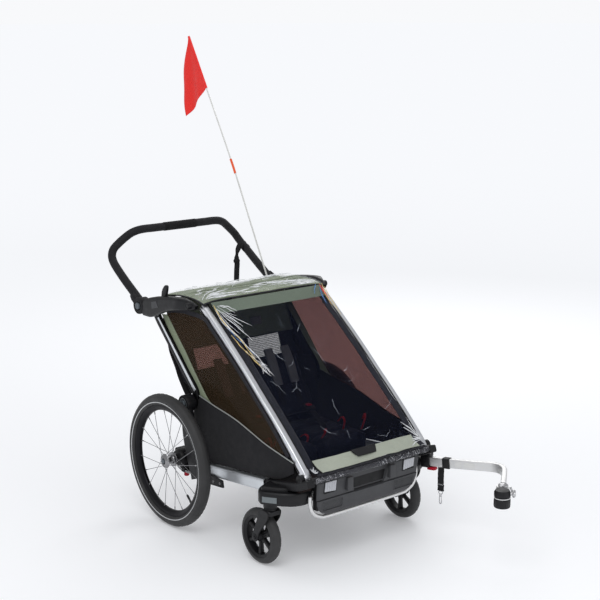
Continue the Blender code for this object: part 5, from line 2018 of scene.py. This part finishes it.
def build_hitch():
    matrix = frame_at(ARM_START, ARM_KNEE - ARM_START)
    receiver = Shape()
    receiver.block((-0.0168, -0.014, -0.0208), (0.0168, 0.020, -0.0165), matrix, 0.002)
    receiver.block((-0.0168, -0.014, 0.0165), (0.0168, 0.020, 0.0208), matrix, 0.002)
    receiver.block((-0.0168, -0.014, -0.0190), (-0.0100, 0.020, 0.0190), matrix, 0.002)
    receiver.block((0.0100, -0.014, -0.0190), (0.0168, 0.020, 0.0190), matrix, 0.002)
    receiver.block((-0.0140, -0.012, 0.0180), (0.0140, 0.024, 0.0300), matrix, 0.004)
    receiver = receiver.make("hitch_receiver_look", "base", "black", "black_plastic")
    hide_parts("hitch_receiver")
    lock = Shape().block((-0.0096, 0.0064, -0.0310), (0.0096, 0.0396, -0.0206), matrix, 0.0025)
    for k in range(4):
        lock.block(
            (-0.0080, 0.0120 + 0.006 * k, -0.0322), (0.0080, 0.0148 + 0.006 * k, -0.0300), matrix, 0.0006
        )
    lock = lock.make("hitch_lock_look", "hitch_lock", "red", "red")
    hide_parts("hitch_lock")
    tongue = Shape().block((-0.0150, 0.0200, -0.0160), (-0.0100, 0.0420, 0.0050), matrix, 0.0015)
    tongue.make("hitch_red_tongue", "base", "red", "red")

    to_bend = (ARM_BEND - ARM_KNEE).normalized()
    to_swivel = (SWIVEL - ARM_BEND).normalized()
    path = [
        ARM_START, ARM_START.lerp(ARM_KNEE, 0.5), ARM_KNEE - (ARM_KNEE - ARM_START).normalized() * 0.02,
        ARM_KNEE + to_bend * 0.02, ARM_KNEE.lerp(ARM_BEND, 0.5)
    ]
    for t in (0.0, 0.2, 0.4, 0.6, 0.8, 1.0):
        before = ARM_BEND - to_bend * 0.058 * (1 - t)
        after = ARM_BEND + to_swivel * 0.058 * t
        path.append(before * (1 - t) + after * t)
    path += [ARM_BEND.lerp(SWIVEL, 0.7), SWIVEL - to_swivel * 0.013]
    smooth = smooth_path(path, 6)
    rings = []
    for i, point in enumerate(smooth):
        ahead = smooth[min(i + 1, len(smooth) - 1)] - smooth[max(i - 1, 0)]
        ahead.z = 0
        right = ahead.normalized().cross(UP)
        rings.append([point + right * u + UP * v for u, v in rounded(0.0185, 0.0340, 0.0042, 4)])
    arm = Shape().rings(rings)
    arm.lathe(
        SWIVEL, (0, 0, 1),
        [
            (0.0156, -0.0150), (0.0215, -0.0150), (0.0225, -0.0135), (0.0225, 0.0135), (0.0215, 0.0150),
            (0.0156, 0.0150)
        ],
        48
    )
    arm = arm.make("hitch_arm_look", "hitch_arm", "silver_arm", "silver", 40)
    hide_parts("hitch_arm")

    # Blank label areas on the outer and inner faces of the arm.
    for name, start, end, high, material in (
        ("hitch_label_pale", 0.16, 0.26, 0.0105, "label"), ("hitch_label_long", 0.32, 0.50, 0.0095, "label")
    ):
        a = ARM_KNEE.lerp(ARM_BEND, start)
        b = ARM_KNEE.lerp(ARM_BEND, end)
        right = to_bend.cross(UP).normalized()
        for hand, sign in (("outer", 1), ("inner", -1)):
            label_shape = Shape().sweep(
                [a + right * sign * 0.0092, b + right * sign * 0.0092],
                rounded(0.0006, 2 * high, 0.0002, 2), right
            )
            label_shape.make(
                f"{name}_{hand}", "hitch_arm", material, "white" if material == "label" else "black_plastic"
            )

    # The strap's clip round the arm.
    clip_at = ARM_START.lerp(ARM_KNEE, 1.0)
    strap_at = ARM_START.lerp(ARM_KNEE, 0.73)
    along = (ARM_KNEE - ARM_START).normalized()
    clip_frame = frame_at(clip_at, along)
    clip = Shape()
    clip.block((-0.0118, -0.0140, -0.0185), (0.0118, 0.0140, -0.0150), clip_frame, 0.0012)
    clip.block((-0.0118, -0.0140, 0.0150), (0.0118, 0.0140, 0.0185), clip_frame, 0.0012)
    clip.block((-0.0120, -0.0140, -0.0170), (-0.0092, 0.0140, 0.0170), clip_frame, 0.0010)
    clip.block((0.0092, -0.0140, -0.0170), (0.0120, 0.0140, 0.0170), clip_frame, 0.0010)
    clip.block((-0.0150, -0.0100, -0.0100), (-0.0115, 0.0210, 0.0120), clip_frame, 0.0012)
    clip.make("hitch_clip", "hitch_arm", "webbing_plastic", "webbing")

    level = Vector((along.x, along.y, 0)).normalized()
    hang = frame_at(strap_at - Vector((0, 0, 0.0155)), level)
    rings = []
    for k in range(31):
        z = -0.0024 - 0.0856 * k / 30
        bow = 0.0016 * math.sin(math.pi * k / 30) + 0.0005 * math.sin(k * 0.9)
        rings.append([hang @ Vector((bow + u, v, z)) for u, v in rounded(0.0022, 0.0250, 0.0009, 2)])
    hanging = Shape().rings(rings)
    for k, z in enumerate((-0.0700, -0.0860)):
        hanging.block(
            (-0.0021, -0.0125, z - 0.0060), (0.0021, 0.0125, z + 0.0020 - 0.002 * k), hang, 0.0006
        )
    hanging = hanging.make("safety_strap_look", "safety_strap", "webbing", "webbing", 50)
    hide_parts("safety_strap")
    for k, z in enumerate((-0.0665, -0.0690)):
        row = [hang @ Vector((-0.0023, y, z)) for y in (-0.0110, 0.0110)]
        row_back = [hang @ Vector((0.0023, y, z)) for y in (-0.0110, 0.0110)]
        stitches(
            f"strap_stitches_{k}_a", row, "safety_strap", material="reflective", length=0.0034,
            pitch=0.0044, radius=0.0006
        )
        stitches(
            f"strap_stitches_{k}_b", row_back, "safety_strap", material="reflective", length=0.0034,
            pitch=0.0044, radius=0.0006
        )

    hook = Shape()
    eye = [
        hang @ Vector((0, 0.0082 * math.cos(t), -0.0985 + 0.0058 * math.sin(t)))
        for t in [2 * math.pi * k / 28 for k in range(29)]
    ]
    hook.tube(eye, 0.0016, 8)
    hook.lathe(
        hang @ Vector((0, 0, -0.1085)), (0, 0, 1),
        [
            (0.0005, -0.0055), (0.0044, -0.0055), (0.0050, -0.0030), (0.0038, 0.0010), (0.0046, 0.0040),
            (0.0030, 0.0060), (0.0005, 0.0060)
        ],
        24
    )
    bend = [
        (0.0, -0.0035, -0.1130), (0.0, -0.0045, -0.1220), (0.0, -0.0042, -0.1330), (0.0, -0.0020, -0.1400),
        (0.0, 0.0022, -0.1400), (0.0, 0.0042, -0.1340), (0.0, 0.0040, -0.1270)
    ]
    hook.tube(smooth_path([hang @ Vector(p) for p in bend], 6), 0.0018, 10)
    hook.tube([hang @ Vector((0, 0.0030, -0.1130)), hang @ Vector((0, 0.0040, -0.1275))], 0.0012, 8)
    hook = hook.make("snap_hook_look", "snap_hook", "steel", "steel", 50)
    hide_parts("snap_hook")


def build_coupling():
    ahead = SWIVEL - ARM_BEND
    ahead.z = 0
    matrix = frame_at(SWIVEL, ahead)
    swivel = Shape()
    swivel.lathe(
        SWIVEL, (0, 0, 1),
        [
            (0.0006, -0.0240), (0.0120, -0.0240), (0.0150, -0.0200), (0.0150, -0.0155), (0.0142, -0.0150),
            (0.0142, 0.0150), (0.0170, 0.0160), (0.0170, 0.0195), (0.0120, 0.0240), (0.0006, 0.0245)
        ],
        40
    )
    swivel.sweep(
        [matrix @ Vector((0, y, 0)) for y in (0.010, 0.020, 0.031)], rounded(0.0188, 0.0158, 0.004),
        matrix.col[0].to_3d()
    )
    swivel = swivel.make("coupling_swivel_look", "coupling_swivel", "steel", "steel", 40)
    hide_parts("coupling_swivel")

    centre = matrix @ Vector((0, 0.064, 0))
    cup = Shape()
    cup.lathe(
        centre, (0, 0, 1),
        [
            (0.0195, -0.0330), (0.0262, -0.0330), (0.0275, -0.0300), (0.0275, -0.0060), (0.0258, -0.0040),
            (0.0258, 0.0040), (0.0275, 0.0060), (0.0275, 0.0180), (0.0235, 0.0250), (0.0120, 0.0270),
            (0.0006, 0.0270), (0.0006, 0.0120), (0.0180, 0.0110), (0.0190, 0.0060)
        ],
        56
    )
    for cheek in (-1, 1):
        low, high = sorted((cheek * 0.0098, cheek * 0.0165))
        cup.block((low, 0.0140, -0.0110), (high, 0.046, 0.0110), matrix, 0.0022)
    for k in range(10):
        turn = 2 * math.pi * k / 10
        out = Vector((math.cos(turn), math.sin(turn), 0)) * 0.0262
        cup.tube((centre + out + UP * -0.027, centre + out + UP * -0.008), 0.0022, 8)
    cup = cup.make("coupling_cup_look", "coupling_body", "black", "black_plastic", 40)
    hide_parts("coupling_body")
    ring = Shape().lathe(
        centre, (0, 0, 1),
        [(0.0190, -0.0345), (0.0235, -0.0345), (0.0245, -0.0335), (0.0235, -0.0322), (0.0190, -0.0322)], 48
    )
    ring.lathe(
        centre, (0, 0, 1), [(0.0262, -0.0016), (0.0279, -0.0012), (0.0279, 0.0012), (0.0262, 0.0016)], 56
    )
    ring.make("coupling_ring", "coupling_body", "silver_arm", "steel")
    pin = Shape().tube([matrix @ Vector((x, 0.024, 0)) for x in (-0.0200, 0.0200)], 0.0042, 20)
    pin.tube([matrix @ Vector((x, 0.024, 0)) for x in (0.0190, 0.0235)], 0.0068, 20)
    pin.make("coupling_pin", "coupling_body", "steel", "steel")
    skewer = Shape()
    axle = centre + Vector((0, 0, 0.014))
    right = -matrix.col[0].to_3d()
    skewer.lathe(
        axle, right,
        [
            (0.0005, 0.0240), (0.0065, 0.0240), (0.0065, 0.0320), (0.0120, 0.0335), (0.0135, 0.0380),
            (0.0115, 0.0425), (0.0060, 0.0440), (0.0005, 0.0440)
        ],
        32
    )
    skewer.tube(
        [axle + right * 0.030, axle + right * 0.031 + UP * 0.010, axle + right * 0.026 + UP * 0.022],
        0.0034, 12
    )
    skewer.make("coupling_knob", "coupling_body", "steel", "steel")


# ---------------------------------------------------------------- flag and straps


def build_flag():
    socket_along = (POLE_BEND - POLE_LOW).normalized()
    socket = Shape().lathe(
        POLE_LOW, socket_along,
        [
            (0.0042, -0.0005), (0.0070, -0.0075), (0.0085, -0.0060), (0.0088, 0.010), (0.0078, 0.014),
            (0.0078, 0.078), (0.0090, 0.082), (0.0090, 0.094), (0.0070, 0.0955), (0.0042, 0.0940)
        ],
        32
    )
    socket.block((0.262, 0.2035, 0.7915), (0.2990, 0.2225, 0.8055), edge=0.003)
    socket = socket.make("flag_socket_look", "top_frame", "black", "black_plastic", 40)
    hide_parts("flag_socket")

    path = smooth_path(
        [POLE_LOW, POLE_LOW.lerp(POLE_BEND, 0.5), POLE_BEND, POLE_BEND.lerp(POLE_TOP, 0.5), POLE_TOP], 12
    )
    pole = Shape().tube(
        path, 0.0033, 14, scale=lambda t: 1.0 - 0.18 * t
    ).make("flag_pole_look", "flag", "white", "white", 60)
    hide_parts("flag_pole")
    up = (POLE_TOP - POLE_BEND).normalized()
    ferrule = Shape().tube(
        [POLE_BEND - socket_along * 0.033, POLE_BEND - socket_along * 0.002, POLE_BEND + up * 0.030],
        0.0047, 18
    )
    ferrule.make("flag_ferrule", "flag", "orange", "red", 60)

    behind = Vector((0, up.z, -up.y))
    free = Curve(
        (
            (POLE_TOP.y + 0.004, POLE_TOP.z - 0.004), (0.762, 1.690), (0.782, 1.600), (0.772, 1.515),
            (0.752, 1.440), (0.748, 1.424)
        )
    )

    def point(u, v):
        start = POLE_TOP + behind * 0.0036 - up * (0.004 + 0.236 * v)
        goal = free.at(0.02 + 0.98 * v)
        p = start.lerp(Vector((start.x, goal.y, goal.z)), u)
        ripple = 0.0125 * u * math.sin(2.6 * math.pi * u - 5.0 * v + 0.8) * (0.25 + 0.75 * v)
        ripple += 0.004 * u * math.sin(9 * v + 2)
        return Vector((p.x + ripple, p.y, p.z))

    pennant = surface("flag_look", point, 44, 70, "flag", "flag", "red", 0.0010)
    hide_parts("flag")
    sleeve = Shape().tube(
        [POLE_TOP - up * 0.002 + behind * 0.0004, POLE_TOP - up * 0.120, POLE_TOP - up * 0.240], 0.0050, 16
    )
    sleeve.make("flag_sleeve", "flag", "flag", "red", 60)


def build_straps():
    # Behind each upright a webbing strap with an adjuster runs down to the lower joint.
    for side in sides():
        name = label(side)
        path = [
            (side * 0.2760, 0.150, 0.742), (side * 0.2760, 0.128, 0.690), (side * 0.2760, 0.088, 0.630),
            (side * 0.2760, 0.052, 0.580), (side * 0.2770, 0.012, 0.530), (side * 0.2790, -0.028, 0.490)
        ]
        pieces = [strap(f"side_strap_{name}", path, "base", 0.022, 0.0020)]
        down = (Vector(path[4]) - Vector(path[2])).normalized()
        matrix = frame_at(Vector(path[3]), down)
        pieces.append(buckle(f"side_buckle_{name}", matrix, "base", (0.024, 0.034, 0.012)))
        tail = [
            (side * 0.2790, 0.118, 0.660), (side * 0.2820, 0.100, 0.620), (side * 0.2830, 0.066, 0.572),
            (side * 0.2840, 0.044, 0.536), (side * 0.2835, 0.018, 0.500), (side * 0.2830, 0.000, 0.478)
        ]
        pieces.append(strap(f"side_strap_tail_{name}", tail, "base", 0.026, 0.0024))
        for piece in pieces:
            folding(piece)

    # The wrist strap round the far leg of the handlebar, knotted below an adjuster.
    top = Vector((0.3005, 0.4420, 0.9140))
    loop = []
    for k in range(25):
        turn = 2 * math.pi * k / 24
        loop.append(
            Vector((0.3115, 0.4370, 0.9050)) + Vector(
                (0.0175 * math.cos(turn), 0.004 * math.sin(turn), 0.0175 * math.sin(turn))
            )
        )
    wrist = Shape().sweep(loop, rounded(0.022, 0.0020, 0.0008, 2), Vector((0, 0.84, 0.54)))
    wrist.sweep(
        smooth_path(
            [
                top + Vector((-0.008, 0, 0)), top + Vector((-0.020, 0, -0.022)),
                top + Vector((-0.026, 0, -0.050)), top + Vector((-0.024, 0, -0.078)),
                top + Vector((-0.026, 0, -0.105)), top + Vector((-0.028, 0, -0.150))
            ],
            6
        ),
        rounded(0.0220, 0.0022, 0.0009, 2), (0.77, -0.64, 0),
        scale=lambda t: 1.0 - 0.45 * math.exp(-(((t - 0.32) / 0.10) ** 2))
    )
    wrist.make("wrist_strap", "handlebar", "webbing", "webbing", 50)
    matrix = Matrix.Translation(
        top + Vector((-0.026, 0, -0.062))
    ) @ Matrix.Rotation(math.radians(-40), 4, "Z") @ Matrix.Rotation(math.radians(90), 4, "X")
    buckle("wrist_strap_slider", matrix, "handlebar", (0.025, 0.026, 0.008))


# ---------------------------------------------------------------- studio


LIGHT_WORLD = 0.58
FLOOR_GLOW = 0.506
LAMP_POOL = 0.296


STUDIO_WHITE = (0.939, 0.947, 0.965, 1)
FLOOR_HALF = 300
POOL_REACH = 6.6
POOL_FALL = -3.0
# name, place, side of the square and power in watts of each soft lamp
LAMPS = (
    ("key", (-2.2, -1.8, 3.4), 2.2, 42),
    ("rim", (2.6, 1.8, 2.6), 1.8, 24),
    ("front", (0.4, -3.8, 1.5), 1.8, 14),
    ("top", (0.2, 0.6, 4.0), 2.5, 16),
)
LAMP_AIM = Vector((0, 0, 0.5))
CAMERA_PLACE = Vector((-2.904, -3.8052, 1.8316))
CAMERA_AZIMUTH = math.radians(-39.6324)
CAMERA_ELEVATION = math.radians(12.2406)
CAMERA_LENS = 78.36
CAMERA_SENSOR = 36.0


def build_studio():
    """A pale floor without an edge in view, an even pale world and four soft lamps."""
    floor = bpy.data.meshes.new("floor")
    corners = [(x * FLOOR_HALF, y * FLOOR_HALF, 0) for x, y in ((-1, -1), (1, -1), (1, 1), (-1, 1))]
    floor.from_pydata(corners, [], [(0, 1, 2, 3)])
    floor = bpy.data.objects.new("studio_floor", floor)
    bpy.context.scene.collection.objects.link(floor)
    m = Nodes(
        "studio_floor", (0.84, 0.85, 0.87), 0.95, Specular_IOR_Level=0.0, Emission_Color=STUDIO_WHITE,
        Emission_Strength=FLOOR_GLOW
    )
    m.tint(m.ramp(m.noise(0.6), 0.3, 0.7, 0.0, 0.1), (0.85, 0.86, 0.88))
    # The floor glows less where the lamps already light it, so that it is one even tone.
    distance = m.node("ShaderNodeVectorMath", {0: m.coords}, operation="LENGTH").outputs["Value"]
    reach = m.math("DIVIDE", distance, POOL_REACH)
    pool = m.math("POWER", m.math("ADD", m.math("MULTIPLY", reach, reach), 1.0), POOL_FALL)
    m.set("Emission Strength", m.math("SUBTRACT", FLOOR_GLOW, m.math("MULTIPLY", pool, LAMP_POOL)))
    floor.data.materials.append(m.material)
    floor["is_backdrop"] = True

    bpy.context.scene.view_settings.view_transform = "Standard"
    world = bpy.data.worlds.new("studio_world")
    world.use_nodes = True
    tree = world.node_tree
    background = tree.nodes["Background"]
    seen = tree.nodes.new("ShaderNodeLightPath").outputs["Is Camera Ray"]
    strength = tree.nodes.new("ShaderNodeMapRange")
    strength.inputs["To Min"].default_value = LIGHT_WORLD
    strength.inputs["To Max"].default_value = 1.0
    tree.links.new(seen, strength.inputs["Value"])
    tree.links.new(strength.outputs["Result"], background.inputs["Strength"])
    background.inputs["Color"].default_value = STUDIO_WHITE
    bpy.context.scene.world = world

    for name, place_at, size, power in LAMPS:
        data = bpy.data.lights.new(name, "AREA")
        data.energy = power
        data.size = size
        lamp = bpy.data.objects.new(name, data)
        lamp.location = place_at
        lamp.rotation_mode = "QUATERNION"
        lamp.rotation_quaternion = (LAMP_AIM - Vector(place_at)).to_track_quat("-Z", "Y")
        bpy.context.scene.collection.objects.link(lamp)
        lamp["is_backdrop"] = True


def build_camera():
    """The camera, where the azimuth is counted from the trailer's front."""
    flat = math.cos(CAMERA_ELEVATION)
    back = Vector(
        (math.sin(CAMERA_AZIMUTH) * flat, -math.cos(CAMERA_AZIMUTH) * flat, math.sin(CAMERA_ELEVATION))
    )
    data = bpy.data.cameras.new("camera")
    data.lens = CAMERA_LENS
    data.sensor_width = CAMERA_SENSOR
    camera = bpy.data.objects.new("camera", data)
    camera.location = CAMERA_PLACE + SHIFT
    camera.rotation_mode = "QUATERNION"
    camera.rotation_quaternion = (-back).to_track_quat("-Z", "Y")
    bpy.context.scene.collection.objects.link(camera)
    bpy.context.scene.camera = camera


for one_side in sides():
    build_wheel(one_side)
    build_caster(one_side)
    build_lower_frame(one_side)
    build_corner(one_side)
    build_beam(one_side)
    build_upright(one_side)
    build_casting(one_side)
    build_cloth_side(one_side)
build_middle()
build_front_panel()
build_handlebar()
build_roof_and_cover()
build_film()
build_interior()
build_bag()
build_hitch()
build_coupling()
build_flag()
build_straps()
build_studio()
build_camera()

{"cad": [list(c) for c in CAD_BOX], "visual": [list(c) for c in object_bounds()]}
